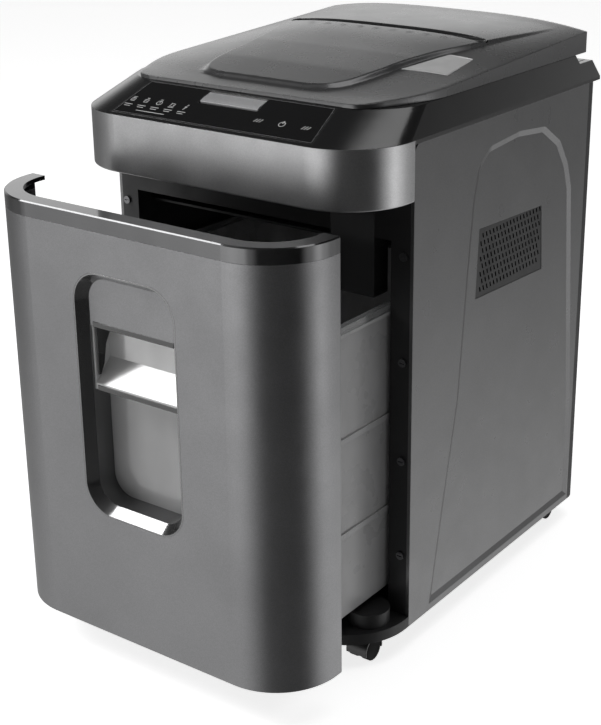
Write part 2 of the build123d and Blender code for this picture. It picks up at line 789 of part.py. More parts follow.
def idler_gear():
    """Idler between the front cutter and the pick-up roller."""
    return sync_gear(idler_teeth, idler_phase, idler_place, gear_pin_radius + pin_clearance)


def compound_gear():
    """Two-step reduction gear."""
    y, z = compound_place
    bore = gear_pin_radius + pin_clearance
    small = gear(final_module, final_pinion_teeth, compound_phase, final_x, y, z, gear_width, bore)
    large = gear(first_module, first_teeth, first_phase, first_x, y, z, gear_width, bore)
    hub = rod_x(final_x, first_x + gear_width, y, z, 6.5) - rod_x(0, 200, y, z, bore)
    return small + large + hub


def gear_pins():
    """Fixed pins for the idler and the two-step gear."""
    idler = rod_x(end_plate_offset, sync_x + gear_width + 1, *idler_place, gear_pin_radius)
    return group([idler, rod_x(end_plate_offset, gear_end + 1, *compound_place, gear_pin_radius)])


def motor_can():
    """Motor body against the inner face of the right end plate."""
    y, z = motor_place
    x1 = end_plate_offset
    can = rod_x(x1 - motor_length, x1, y, z, motor_radius)
    can += rod_x(x1 - motor_length - 6, x1 - motor_length, y, z, 12)
    can += rod_x(x1, block_outside, y, z, 12)
    can += box(x1 - motor_length + 10, x1 - 10, y - 20, y + 20, ceiling_top, z)
    return can - rod_x(x1 - 30, block_outside + 1, y, z, gear_pin_radius + pin_clearance)


def motor_rotor():
    """Motor shaft with its pinion."""
    y, z = motor_place
    shaft = rod_x(end_plate_offset - 20, gear_end, y, z, gear_pin_radius)
    return shaft + gear(first_module, pinion_teeth, pinion_phase, first_x, y, z, gear_width, 0)


def power_board():
    """Mains board on the left wall, with its larger components."""
    board = box(-152, -150.4, deep(60), deep(180), 410, 490)
    parts = [box(-150.4, -128, deep(70), deep(105), 420, 450), box(-150.4, -146, deep(112), deep(150), 440, 480),
             box(-150.4, -134, deep(155), deep(170), 415, 432)]
    parts += [Pos(-142, deep(y), 465) * Rot(0, 90, 0) * Cylinder(8, 16.8) for y in (72, 92)]
    parts += [rod_x(-inside_half, -152, deep(y), z, 3) for y in (66, 174) for z in (416, 484)]
    return board + parts


def mains_inlet():
    """Three-pin mains inlet in the rear cover."""
    body = rear_block(inlet_x, inlet_z, inlet_width, inlet_height, body_rear - inlet_depth, body_rear)
    body -= rear_block(inlet_x, inlet_z, inlet_width - 4, inlet_height - 4, body_rear - inlet_depth + 3)
    for dx, dz in ((-7, -2), (0, 3), (7, -2)):
        body += rear_block(inlet_x + dx, inlet_z + dz, 2, 4, body_rear - inlet_depth + 2, body_rear - 3)
    return body


def rocker_bezel():
    """Frame of the mains switch."""
    frame = rear_block(inlet_x, switch_z, switch_width, switch_height, body_rear - 20, body_rear)
    frame -= rear_block(inlet_x, switch_z, rocker_width + 0.8, rocker_height + 1.6, body_rear - 16)
    return frame - rod_x(inlet_x - 8.4, inlet_x + 8.4, body_rear - 7, switch_z, 1.5 + pin_clearance)


def power_rocker():
    """Rocking key of the mains switch."""
    key = rear_block(inlet_x, switch_z, rocker_width, rocker_height, body_rear - 11, body_rear - 1.5)
    key &= rod_x(inlet_x - 20, inlet_x + 20, body_rear - 7, switch_z, rocker_height / 2)
    return key + rod_x(inlet_x - 8.2, inlet_x + 8.2, body_rear - 7, switch_z, 1.5)


# ---------------------------------------------------------------- drawer
def drawer_front():
    """Painted wrap-round front with the window opening."""
    shell = slab(nose_outline(drawer_half, drawer_face, drawer_end, nose_radius), drawer_bottom, cap_bottom)
    inner = nose_outline(drawer_half, drawer_face, drawer_end + 1, nose_radius, wall)
    shell -= slab(inner, drawer_bottom + wall, cap_bottom + 1)
    under = box(-200, 200, drawer_face + sill_depth, drawer_end + 1, 0, 100)
    shell -= slab(inner, drawer_bottom - 1, drawer_bottom + wall + 1) & under
    return shell - from_front(window_outline(0), -1, wall + 1)


def drawer_cap():
    """Gloss trim with a flat top ledge."""
    top = slab(nose_outline(drawer_half, drawer_face, drawer_end, nose_radius), cap_bottom, drawer_top)
    ledge = nose_outline(drawer_half, drawer_face, drawer_end + 1, nose_radius, cap_ledge)
    skirt = nose_outline(drawer_half, drawer_face, drawer_end + 1, nose_radius, wall)
    top -= slab(ledge, cap_bottom - 1, drawer_top + 1) + slab(skirt, cap_bottom - 1, drawer_top - 4)
    edge = top.edges().filter_by(lambda e: e.center().Z > drawer_top - 0.1 and e.length > 20)
    outer = [e for e in edge if e.center().Y < drawer_face + 1.0]
    return chamfer(outer, 1.2) if outer else top


def drawer_frame():
    """Inner panel that joins the wrap-round front to the bin."""
    plate = slab(nose_outline(drawer_half, drawer_face, drawer_end, nose_radius, wall),
                 boss_top + 2, cap_bottom)
    plate &= box(-200, 200, bin_front - inner_frame_thickness, bin_front, 0, 500)
    plate -= box(-200, 200, drawer_face, drawer_end, bin_top + rim_height + 8, 500)
    return plate - from_front(window_outline(bezel_slope), 0, 60)


def window_bezel():
    """Sloped ring round the window with a straight tunnel behind it."""
    ring = from_front(window_outline(0), 0.0, bezel_depth)
    ring += from_front(window_outline(bezel_slope - sleeve_wall), bezel_depth, sleeve_end)
    plane = Plane((0, drawer_face, 0), x_dir=(1, 0, 0), z_dir=(0, -1, 0))
    wide, narrow = window_outline(1.6), window_outline(bezel_slope)
    ring -= loft([plane * Pos(0, 0, 0.01) * wide, plane * Pos(0, 0, -bezel_depth) * narrow])
    return ring - from_front(narrow, bezel_depth - 0.01, sleeve_end + 1)


def tunnel_block(depth0, depth1, z0, z1):
    """The part of the window's tunnel between two depths and two heights."""
    block = box(-window_width, window_width, drawer_face + depth0, drawer_face + depth1, z0, z1)
    return from_front(window_outline(bezel_slope), depth0, depth1) & block


def grip_plate():
    """Painted plate over the top of the window, with a turned-in lip."""
    plate = tunnel_block(bezel_depth + 0.5, bezel_depth + 0.5 + grip_thickness, grip_bottom, window_top)
    return plate + tunnel_block(bezel_depth + 0.5, bezel_depth + 7.5, grip_bottom - 5, grip_bottom)


def finger_scoop():
    """Smooth pocket for the fingers behind and below the grip plate."""
    front, back = bezel_depth + 2.0, sleeve_end - 2.0
    block = tunnel_block(front, sleeve_end, scoop_rim - 2, grip_bottom + 30)
    block -= box(-80, 80, drawer_face, drawer_face + bezel_depth + 0.5 + grip_thickness, grip_bottom - 5, 450)
    block -= box(-80, 80, drawer_face, drawer_face + bezel_depth + 7.5, grip_bottom - 5, grip_bottom)
    half = window_width / 2 - bezel_slope - 2.0
    profile = [(front - 2, scoop_rim + 2), (back, scoop_rim + 24), (back, grip_bottom + 26),
               (bezel_depth + 0.5 + grip_thickness, grip_bottom + 26), (front - 2, grip_bottom + 26)]
    points = [(drawer_face + d, z) for d, z in profile]
    return block - prism(points, Plane((-half, 0, 0), x_dir=(0, 1, 0), z_dir=(1, 0, 0)), 2 * half)


def window_pane():
    """Clear pane at the back of the tunnel, below the scoop."""
    return tunnel_block(sleeve_end - 3.0, sleeve_end - 1.0, window_bottom, scoop_rim - 2)


def bin_outline(inset):
    """Plan of the bin, drawn in by inset."""
    shape = RectangleRounded(bin_width - 2 * inset, bin_length - 2 * inset, max(bin_radius - inset, 1))
    return Pos(0, (bin_front + bin_rear) / 2) * shape


def bin_shell():
    """Open waste bin with two stiffening steps and a rim flange."""
    tub = slab(bin_outline(0), bin_floor, bin_top)
    for z in rib_heights:
        tub += slab(bin_outline(-rib_proud), z - rib_height / 2, z + rib_height / 2)
    tub += slab(bin_outline(-flange_proud), bin_top - 3, bin_top)
    tub -= slab(bin_outline(bin_wall), bin_floor + bin_wall, bin_top + 1)
    return tub - box(-200, 200, drawer_face, bin_front, 0, 500)


def bin_rim():
    """Lip along the bin's top edge."""
    lip = slab(bin_outline(-flange_proud), bin_top, bin_top + rim_height)
    lip -= slab(bin_outline(bin_wall), bin_top - 1, bin_top + rim_height + 1)
    return lip - box(-200, 200, drawer_face, bin_front, 0, 500)


def slide_runners():
    """Two runners under the bin, held in the base's channels."""
    runners = []
    for side in (-1, 1):
        x = side * slide_offset
        foot = box(x - 9, x + 9, bin_front + 10, bin_rear - 4, base_top + 3, base_top + slide_height - 3.1)
        web = box(x - 3.5, x + 3.5, bin_front + 10, bin_rear - 4, base_top + 4, bin_floor)
        runners.append(foot + web)
    return group(runners)


# ---------------------------------------------------------------- lid
def lid_outline(inset):
    """Plan of the lid with cut and rounded front corners, drawn in by inset."""
    x1, y1 = lid_corner
    corner = [(-lid_half, deep(lid_rear)), (-lid_half, deep(y1)), (-x1, deep(lid_front)),
              (x1, deep(lid_front)), (lid_half, deep(y1)), (lid_half, deep(lid_rear))]
    face = make_face(Polyline(*corner, close=True))
    front = [v for v in face.vertices() if v.Y < deep(y1 + 1)]
    face = fillet(front, 30)
    return offset(face, -inset, kind=Kind.INTERSECTION) if inset else face


def plateau_outline(inset):
    """Plan of the raised plate on the lid, drawn in by inset."""
    right = [(x, deep(y + inset)) for x, y in plateau_half[:1]]
    right += [(x - inset, deep(y + inset * 0.4)) for x, y in plateau_half[1:3]]
    right += [(x - inset, deep(y)) for x, y in plateau_half[3:]]
    with BuildLine() as line:
        Spline(*right, tangents=((1, 0), (0, 1)))
        Spline(*[(-x, y) for x, y in right], tangents=((-1, 0), (0, 1)))
        Line((-right[0][0], right[0][1]), right[0])
        Line((-right[-1][0], right[-1][1]), right[-1])
    return make_face(line.line)


def below(points, drop):
    """A wide wedge that fills everything above a line of (back, up) points, lowered by drop."""
    low = [(deep(y), z - drop) for y, z in points]
    ring = low + [(low[-1][0], 640), (low[0][0], 640)]
    return prism(ring, Plane((-200, 0, 0), x_dir=(0, 1, 0), z_dir=(1, 0, 0)), 400)


lower_line = ((lid_front - 20, lid_front_top - 0.9), (lid_rear + 20, lid_rear_top + 0.9))
upper_line = ((plateau_front - 40, plateau_front_top - 4), (throat_centre, plateau_throat_top),
              (lid_rear + 20, plateau_rear_top))


def lid_solid(inset, drop, bottom):
    """Lid body with its raised plate, as one solid."""
    lower = slab(lid_outline(inset), bottom, 570) - below(lower_line, drop)
    low, high = seam_height - 4, seam_height + 40
    wide, narrow = plateau_outline(inset), plateau_outline(inset + plateau_slope * (high - low))
    raised = loft([Pos(0, 0, low) * wide, Pos(0, 0, high) * narrow])
    raised -= below(upper_line, drop)
    return lower + (raised - box(-200, 200, -400, 400, 400, bottom))


def throat_hole(extra, z0, z1):
    """The throat's slot with round ends, grown by extra."""
    face = SlotOverall(throat_length + 2 * extra, throat_width + 2 * extra)
    return slab(Pos(0, throat_y) * face, z0, z1)


def lid_skin():
    """Hollow lid before its openings are cut."""
    seam = seam_height + gap
    skin = lid_solid(0, 0, seam) - lid_solid(lid_wall, lid_wall, seam - 5)
    for side in (-1, 1):
        inner = side * (hinge_offset - 0.5 - knuckle_width)
        x0, x1 = sorted((inner, side * (hinge_offset - 0.5)))
        knuckle = box(x0, x1, hinge_y - lug_radius, hinge_y + lug_radius, hinge_z, lid_rear_top - 2)
        skin += knuckle + rod_x(x0, x1, hinge_y, hinge_z, lug_radius)
        skin -= rod_x(x0 - 1, x1 + 1, hinge_y, hinge_z, hinge_radius + pin_clearance)
        x0, x1 = sorted((side * (plate_half + 1), side * (plate_half + 5)))
        ear = box(x0, x1, pivot_y() - 5, pivot_y() + 5, pivot_height - 5, lid_front_top + 2.0)
        skin += ear - rod_x(x0 - 1, x1 + 1, pivot_y(), pivot_height, pivot_radius + pin_clearance)
    return skin


def pivot_y():
    """The pressure plate's pivot."""
    return deep(plate_front + 6)


def lid_shell():
    """Satin lid with openings for the throat guide and the small window."""
    window = slab(make_face(Polyline(*window_points(), close=True)), seam_height, 570)
    lid = lid_skin() - throat_hole(throat_wall, 500, 570) - window
    for side in (-1, 1):
        x0, x1 = sorted((side * (hinge_offset - 1), side * (hinge_offset + lug_thickness + 1)))
        lid -= box(x0, x1, hinge_y + lug_radius + 0.5, deep(lid_rear + 1), seam_height, hinge_z + 6)
    return lid


def window_points():
    """Corners of the lid's window in plan."""
    return [(x, deep(y)) for x, y in window_corners]


def lid_window():
    """Clear insert in the lid."""
    skin = lid_solid(0, 0, seam_height) - lid_solid(lid_wall, lid_wall - 0.8, seam_height - 5)
    return skin & slab(make_face(Polyline(*window_points(), close=True)), seam_height + 4, 570)


def throat_guide():
    """Lining of the hand-feed throat, down into the tray."""
    tube = throat_hole(throat_wall, throat_bottom, 570) - throat_hole(0, 500, 575)
    return tube - below(upper_line, -0.6)


def pressure_plate():
    """Sprung plate that holds the stack on the pick-up roller."""
    plate = box(-plate_half, plate_half, deep(plate_front), deep(plate_rear), plate_bottom, plate_bottom + plate_sheet)
    for side in (-1, 1):
        x0, x1 = sorted((side * (plate_half - 4), side * plate_half))
        plate += box(x0, x1, pivot_y() - 4, pivot_y() + 4, plate_bottom, pivot_height)
        plate += rod_x(x0, x1, pivot_y(), pivot_height, 4)
    return plate + rod_x(-plate_half - 5, plate_half + 5, pivot_y(), pivot_height, pivot_radius)


def pressure_pads():
    """Friction pads under the plate, over the roller's sleeves."""
    y = feed_place[0]
    return group([box(x - 10, x + 10, y - 7, y + 7, plate_bottom - 1, plate_bottom) for x in tyre_places])


# ---------------------------------------------------------------- casters
def caster_hood(x, y):
    """Swivelling hood with its stem, at a stem place."""
    wheel_y = y - caster_trail
    half = web_width / 2 + 0.4 + wheel_width
    hood = rod_x(x - half, x + half, wheel_y, wheel_radius, hood_radius)
    room = wheel_radius + 0.8
    for side in (-1, 1):
        x0, x1 = sorted((x + side * web_width / 2, x + side * (half + 1)))
        hood -= rod_x(x0, x1, wheel_y, wheel_radius, room)
    hood -= box(x - 30, x + 30, wheel_y - 30, wheel_y + 30, -5, wheel_radius - 3)
    hood += box(x - web_width / 2, x + web_width / 2, wheel_y, y + 4, wheel_radius, floor_gap - 1)
    hood += Pos(x, y, floor_gap - 1.9) * Cylinder(9, 2.6)
    hood -= rod_x(x - web_width, x + web_width, wheel_y, wheel_radius, axle_radius + pin_clearance)
    for side in (-1, 1):
        x0, x1 = sorted((x + side * web_width / 2, x + side * (half + 4)))
        hood -= rod_x(x0, x1, wheel_y, wheel_radius, room)
    top = boss_top - wall - 0.5
    return hood + Pos(x, y, (floor_gap - 1 + top) / 2) * Cylinder(stem_radius, top - floor_gap + 1)


def caster_wheels(x, y):
    """Twin wheels on one axle."""
    wheel_y = y - caster_trail
    inner = web_width / 2 + 0.4
    pair = rod_x(x - inner - wheel_width, x + inner + wheel_width, wheel_y, wheel_radius, axle_radius)
    for side in (-1, 1):
        x0, x1 = sorted((x + side * inner, x + side * (inner + wheel_width)))
        wheel = rod_x(x0, x1, wheel_y, wheel_radius, wheel_radius)
        pair += fillet(wheel.edges().filter_by(GeomType.CIRCLE), 1.0)
    return pair


# ---------------------------------------------------------------- every node
nodes = {
    "base_plate": base_plate, "rear_cover": rear_cover, "cover_screws": cover_screws,
    "front_frame": front_frame, "frame_screws": frame_screws, "sensor_housing": sensor_housing,
    "bay_liner": bay_liner, "slide_rails": slide_rails, "head_band": head_band,
    "deck_cover": deck_cover, "control_panel": control_panel, "latch_tab": latch_tab,
    "feed_tray": feed_tray, "lid_hinge_rod": lid_hinge_rod, "cutter_plates": cutter_plates,
    "bearing_bushes": bearing_bushes, "tie_rods": tie_rods, "stripper_bars": stripper_bars,
    "rear_cutter": rear_cutter, "front_cutter": front_cutter, "final_gear": final_gear,
    "feed_shaft": feed_shaft, "feed_tyres": feed_tyres, "idler_gear": idler_gear,
    "compound_gear": compound_gear, "gear_pins": gear_pins, "motor_can": motor_can,
    "motor_rotor": motor_rotor, "power_board": power_board, "mains_inlet": mains_inlet,
    "rocker_bezel": rocker_bezel, "power_rocker": power_rocker, "drawer_front": drawer_front,
    "drawer_cap": drawer_cap, "drawer_frame": drawer_frame, "window_bezel": window_bezel,
    "grip_plate": grip_plate, "finger_scoop": finger_scoop, "window_pane": window_pane,
    "bin_shell": bin_shell, "bin_rim": bin_rim, "slide_runners": slide_runners,
    "lid_shell": lid_shell, "lid_window": lid_window, "throat_guide": throat_guide,
    "pressure_plate": pressure_plate, "pressure_pads": pressure_pads,
    "side_panel_left": lambda: side_panel(-1), "side_panel_right": lambda: side_panel(1),
    "side_grilles": lambda: group(both_sides(side_grille)),
}
corners = ("front_left", "front_right", "rear_left", "rear_right")
for corner_name, (stem_x, stem_y) in zip(corners, caster_places()):
    nodes["caster_hood_" + corner_name] = lambda x=stem_x, y=stem_y: caster_hood(x, y)
    nodes["caster_wheels_" + corner_name] = lambda x=stem_x, y=stem_y: caster_wheels(x, y)


def main():
    """Build every node and write it to its own file."""
    os.makedirs("parts", exist_ok=True)
    for name, make in nodes.items():
        piece = make()
        if not isinstance(piece, (Part, Compound, Solid)):
            piece = Compound(children=list(piece))
        export_step(piece, os.path.join("parts", name + ".step"))


main()
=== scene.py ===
"""Visual model of a tall paper shredder with a pull-out bin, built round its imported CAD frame.

Everything is in metres in the CAD frame: +X to the user's right, +Y to the back, +Z up.
"""

import json
import logging
import math
from dataclasses import dataclass
from enum import Enum

import bpy
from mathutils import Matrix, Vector

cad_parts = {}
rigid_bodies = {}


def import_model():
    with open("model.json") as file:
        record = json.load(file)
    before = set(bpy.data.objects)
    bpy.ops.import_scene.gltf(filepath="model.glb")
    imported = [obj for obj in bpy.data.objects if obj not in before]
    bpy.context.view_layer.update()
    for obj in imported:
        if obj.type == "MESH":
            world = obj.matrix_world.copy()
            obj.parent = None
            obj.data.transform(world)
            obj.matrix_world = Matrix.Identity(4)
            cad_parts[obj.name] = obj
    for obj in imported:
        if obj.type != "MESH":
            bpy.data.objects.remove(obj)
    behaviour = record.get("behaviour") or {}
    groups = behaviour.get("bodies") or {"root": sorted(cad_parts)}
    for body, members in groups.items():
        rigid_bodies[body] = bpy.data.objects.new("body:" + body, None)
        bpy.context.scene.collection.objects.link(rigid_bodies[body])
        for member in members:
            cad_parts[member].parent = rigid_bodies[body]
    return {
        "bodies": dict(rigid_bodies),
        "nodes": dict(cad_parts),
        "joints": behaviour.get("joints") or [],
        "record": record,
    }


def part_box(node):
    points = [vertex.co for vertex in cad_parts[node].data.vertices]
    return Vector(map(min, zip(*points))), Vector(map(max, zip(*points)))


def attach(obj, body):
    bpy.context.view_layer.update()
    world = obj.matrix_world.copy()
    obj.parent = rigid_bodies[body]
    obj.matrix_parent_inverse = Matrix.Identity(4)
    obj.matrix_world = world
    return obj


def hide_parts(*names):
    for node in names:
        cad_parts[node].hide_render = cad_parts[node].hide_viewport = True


LOG = logging.getLogger("shredder")
Piece = bpy.types.Object
Socket = bpy.types.NodeSocket
Tree = bpy.types.NodeTree
Pair = tuple[float, float]
Triple = tuple[float, float, float]
Knots = tuple[Pair, ...]
MM = 0.001
CAD_SMOOTH = 21.0          # degrees between faces of a CAD piece that are shaded as one surface
MESH_SMOOTH = 30.0         # the same for the pieces that are modelled here


class Grain(Enum):
    """Surface structures that a finish can carry."""

    SMOOTH = "smooth"
    FLAKE = "metal flake"
    LEATHERY = "moulded texture"
    BRUSHED = "brushed along x"
    TURNED = "turned rings"
    WAVY = "flowing film"


CLOUDS = (9.0, 4.0)        # cycles per metre and octaves of the slow wander in tone
SMUDGES = (38.0, 6.0)      # the same of the smudges in roughness
NOISE_SPAN = (0.3, 0.7)    # usual lowest and highest value of a noise
PLAIN_OCTAVES = 3.0        # octaves of a grain that runs no particular way
STRETCH = {                # factor along each axis and octaves of the grains that run one way
    Grain.BRUSHED: ((0.03, 1.0, 1.0), 3.0),
    Grain.TURNED: ((1.0, 0.04, 0.04), 3.0),
    Grain.WAVY: ((1.0, 1.0, 0.4), 1.0),
}


@dataclass(frozen=True)
class Finish:
    """One procedural finish.

    Args:
        name: plain name of the material.
        colour: base colour.
        roughness: mean roughness.
        metallic: metal share of the base.
        coat: clear coat weight.
        coat_roughness: roughness of the coat.
        grain: surface structure.
        grain_size: size of the structure in metres.
        bump: depth of the structure in metres.
        variation: share by which colour and roughness wander.
        edge: radius that softens hard edges, in metres.
        clear: light transmission.
        specular: strength of the plain reflection.
    """

    name: str
    colour: Triple
    roughness: float
    metallic: float = 0.0
    coat: float = 0.0
    coat_roughness: float = 0.1
    grain: Grain = Grain.SMOOTH
    grain_size: float = 0.0006
    bump: float = 0.00002
    variation: float = 0.08
    edge: float = 0.0006
    clear: float = 0.0
    specular: float = 0.5

    def material(self) -> bpy.types.Material:
        """Build the material, or return it if it exists.

        Returns:
            The Blender material.
        """
        found = bpy.data.materials.get(self.name)
        if found:
            return found
        made = bpy.data.materials.new(self.name)
        made.use_nodes = True
        tree = made.node_tree
        shader = tree.nodes["Principled BSDF"]
        shader.inputs["Metallic"].default_value = self.metallic
        shader.inputs["Coat Weight"].default_value = self.coat
        shader.inputs["Coat Roughness"].default_value = self.coat_roughness
        shader.inputs["Transmission Weight"].default_value = self.clear
        shader.inputs["Specular IOR Level"].default_value = self.specular
        place = tree.nodes.new("ShaderNodeTexCoord").outputs["Object"]
        cloud = self._noise(tree, place, *CLOUDS)
        fine = self._structure(tree, place)
        self._colour(tree, shader, cloud, fine)
        self._roughness(tree, shader, cloud, place)
        self._relief(tree, shader, fine)
        return made

    def _noise(self, tree: Tree, place: Socket, scale: float,
               detail: float) -> Socket:
        """Add a noise texture.

        Args:
            tree: node tree to add to.
            place: coordinate socket.
            scale: cycles per metre.
            detail: octaves.

        Returns:
            The noise value socket.
        """
        noise = tree.nodes.new("ShaderNodeTexNoise")
        noise.inputs["Scale"].default_value = scale
        noise.inputs["Detail"].default_value = detail
        tree.links.new(place, noise.inputs["Vector"])
        return noise.outputs["Fac"]

    def _stretched(self, tree: Tree, place: Socket,
                   stretch: Triple) -> Socket:
        """Scale the coordinates unevenly.

        Args:
            tree: node tree to add to.
            place: coordinate socket.
            stretch: factor along each axis.

        Returns:
            The scaled coordinate socket.
        """
        mapping = tree.nodes.new("ShaderNodeMapping")
        mapping.inputs["Scale"].default_value = stretch
        tree.links.new(place, mapping.inputs["Vector"])
        return mapping.outputs["Vector"]

    def _structure(self, tree: Tree, place: Socket) -> Socket:
        """Add the fine structure of the finish.

        Args:
            tree: node tree to add to.
            place: coordinate socket.

        Returns:
            The structure's value socket.
        """
        per_metre = 1.0 / self.grain_size
        if self.grain is Grain.FLAKE or self.grain is Grain.LEATHERY:
            cells = tree.nodes.new("ShaderNodeTexVoronoi")
            cells.inputs["Scale"].default_value = per_metre
            tree.links.new(place, cells.inputs["Vector"])
            return cells.outputs["Distance" if self.grain is Grain.LEATHERY else "Color"]
        if self.grain in STRETCH:
            stretch, octaves = STRETCH[self.grain]
            return self._noise(tree, self._stretched(tree, place, stretch), per_metre, octaves)
        return self._noise(tree, place, per_metre, PLAIN_OCTAVES)

    def _ramp(self, tree: Tree, value: Socket, low: float,
              high: float) -> Socket:
        """Map a value from its usual span to a chosen one.

        Args:
            tree: node tree to add to.
            value: socket to map.
            low: result at the low end.
            high: result at the high end.

        Returns:
            The mapped socket.
        """
        mapped = tree.nodes.new("ShaderNodeMapRange")
        mapped.inputs["From Min"].default_value, mapped.inputs["From Max"].default_value = NOISE_SPAN
        mapped.inputs["To Min"].default_value = low
        mapped.inputs["To Max"].default_value = high
        tree.links.new(value, mapped.inputs["Value"])
        return mapped.outputs["Result"]

    def _colour(self, tree: Tree, shader: bpy.types.Node, cloud: Socket,
                fine: Socket) -> None:
        """Wander the base colour over large clouds and the fine structure.

        Args:
            tree: node tree to add to.
            shader: shader node.
            cloud: slow noise.
            fine: fine structure.
        """
        first = self._mix(tree, self._ramp(tree, cloud, 1.0 - self.variation, 1.0 + self.variation))
        shade = tree.nodes.new("ShaderNodeMix")
        shade.data_type = "RGBA"
        shade.blend_type = "MULTIPLY"
        shade.inputs["Factor"].default_value = 0.35 if self.grain is Grain.FLAKE else 0.25
        tree.links.new(first, shade.inputs["A"])
        tree.links.new(self._ramp(tree, fine, 0.75, 1.2), shade.inputs["B"])
        tree.links.new(shade.outputs["Result"], shader.inputs["Base Color"])

    def _mix(self, tree: Tree, level: Socket) -> Socket:
        """Multiply the base colour by a level.

        Args:
            tree: node tree to add to.
            level: brightness factor.

        Returns:
            The scaled colour socket.
        """
        scaled = tree.nodes.new("ShaderNodeVectorMath")
        scaled.operation = "SCALE"
        scaled.inputs[0].default_value = self.colour
        tree.links.new(level, scaled.inputs["Scale"])
        return scaled.outputs["Vector"]

    def _roughness(self, tree: Tree, shader: bpy.types.Node, cloud: Socket,
                   place: Socket) -> None:
        """Give the surface smudges that change its roughness.

        Args:
            tree: node tree to add to.
            shader: shader node.
            cloud: slow noise.
            place: coordinate socket.
        """
        smudge = self._noise(tree, place, *SMUDGES)
        both = tree.nodes.new("ShaderNodeMath")
        both.operation = "MULTIPLY"
        both.use_clamp = True
        smudged = self._ramp(tree, smudge, 1.0 - self.variation, 1.0 + 2 * self.variation)
        wander = self._ramp(tree, cloud, self.roughness * 0.94, self.roughness * 1.06)
        tree.links.new(smudged, both.inputs[0])
        tree.links.new(wander, both.inputs[1])
        tree.links.new(both.outputs["Value"], shader.inputs["Roughness"])

    def _relief(self, tree: Tree, shader: bpy.types.Node, fine: Socket) -> None:
        """Add the structure's bump over softened edges.

        Args:
            tree: node tree to add to.
            shader: shader node.
            fine: fine structure.
        """
        soft = tree.nodes.new("ShaderNodeBevel")
        soft.samples = 6
        soft.inputs["Radius"].default_value = self.edge
        bump = tree.nodes.new("ShaderNodeBump")
        bump.inputs["Strength"].default_value = 1.0
        bump.inputs["Distance"].default_value = self.bump
        tree.links.new(soft.outputs["Normal"], bump.inputs["Normal"])
        tree.links.new(fine, bump.inputs["Height"])
        tree.links.new(bump.outputs["Normal"], shader.inputs["Normal"])


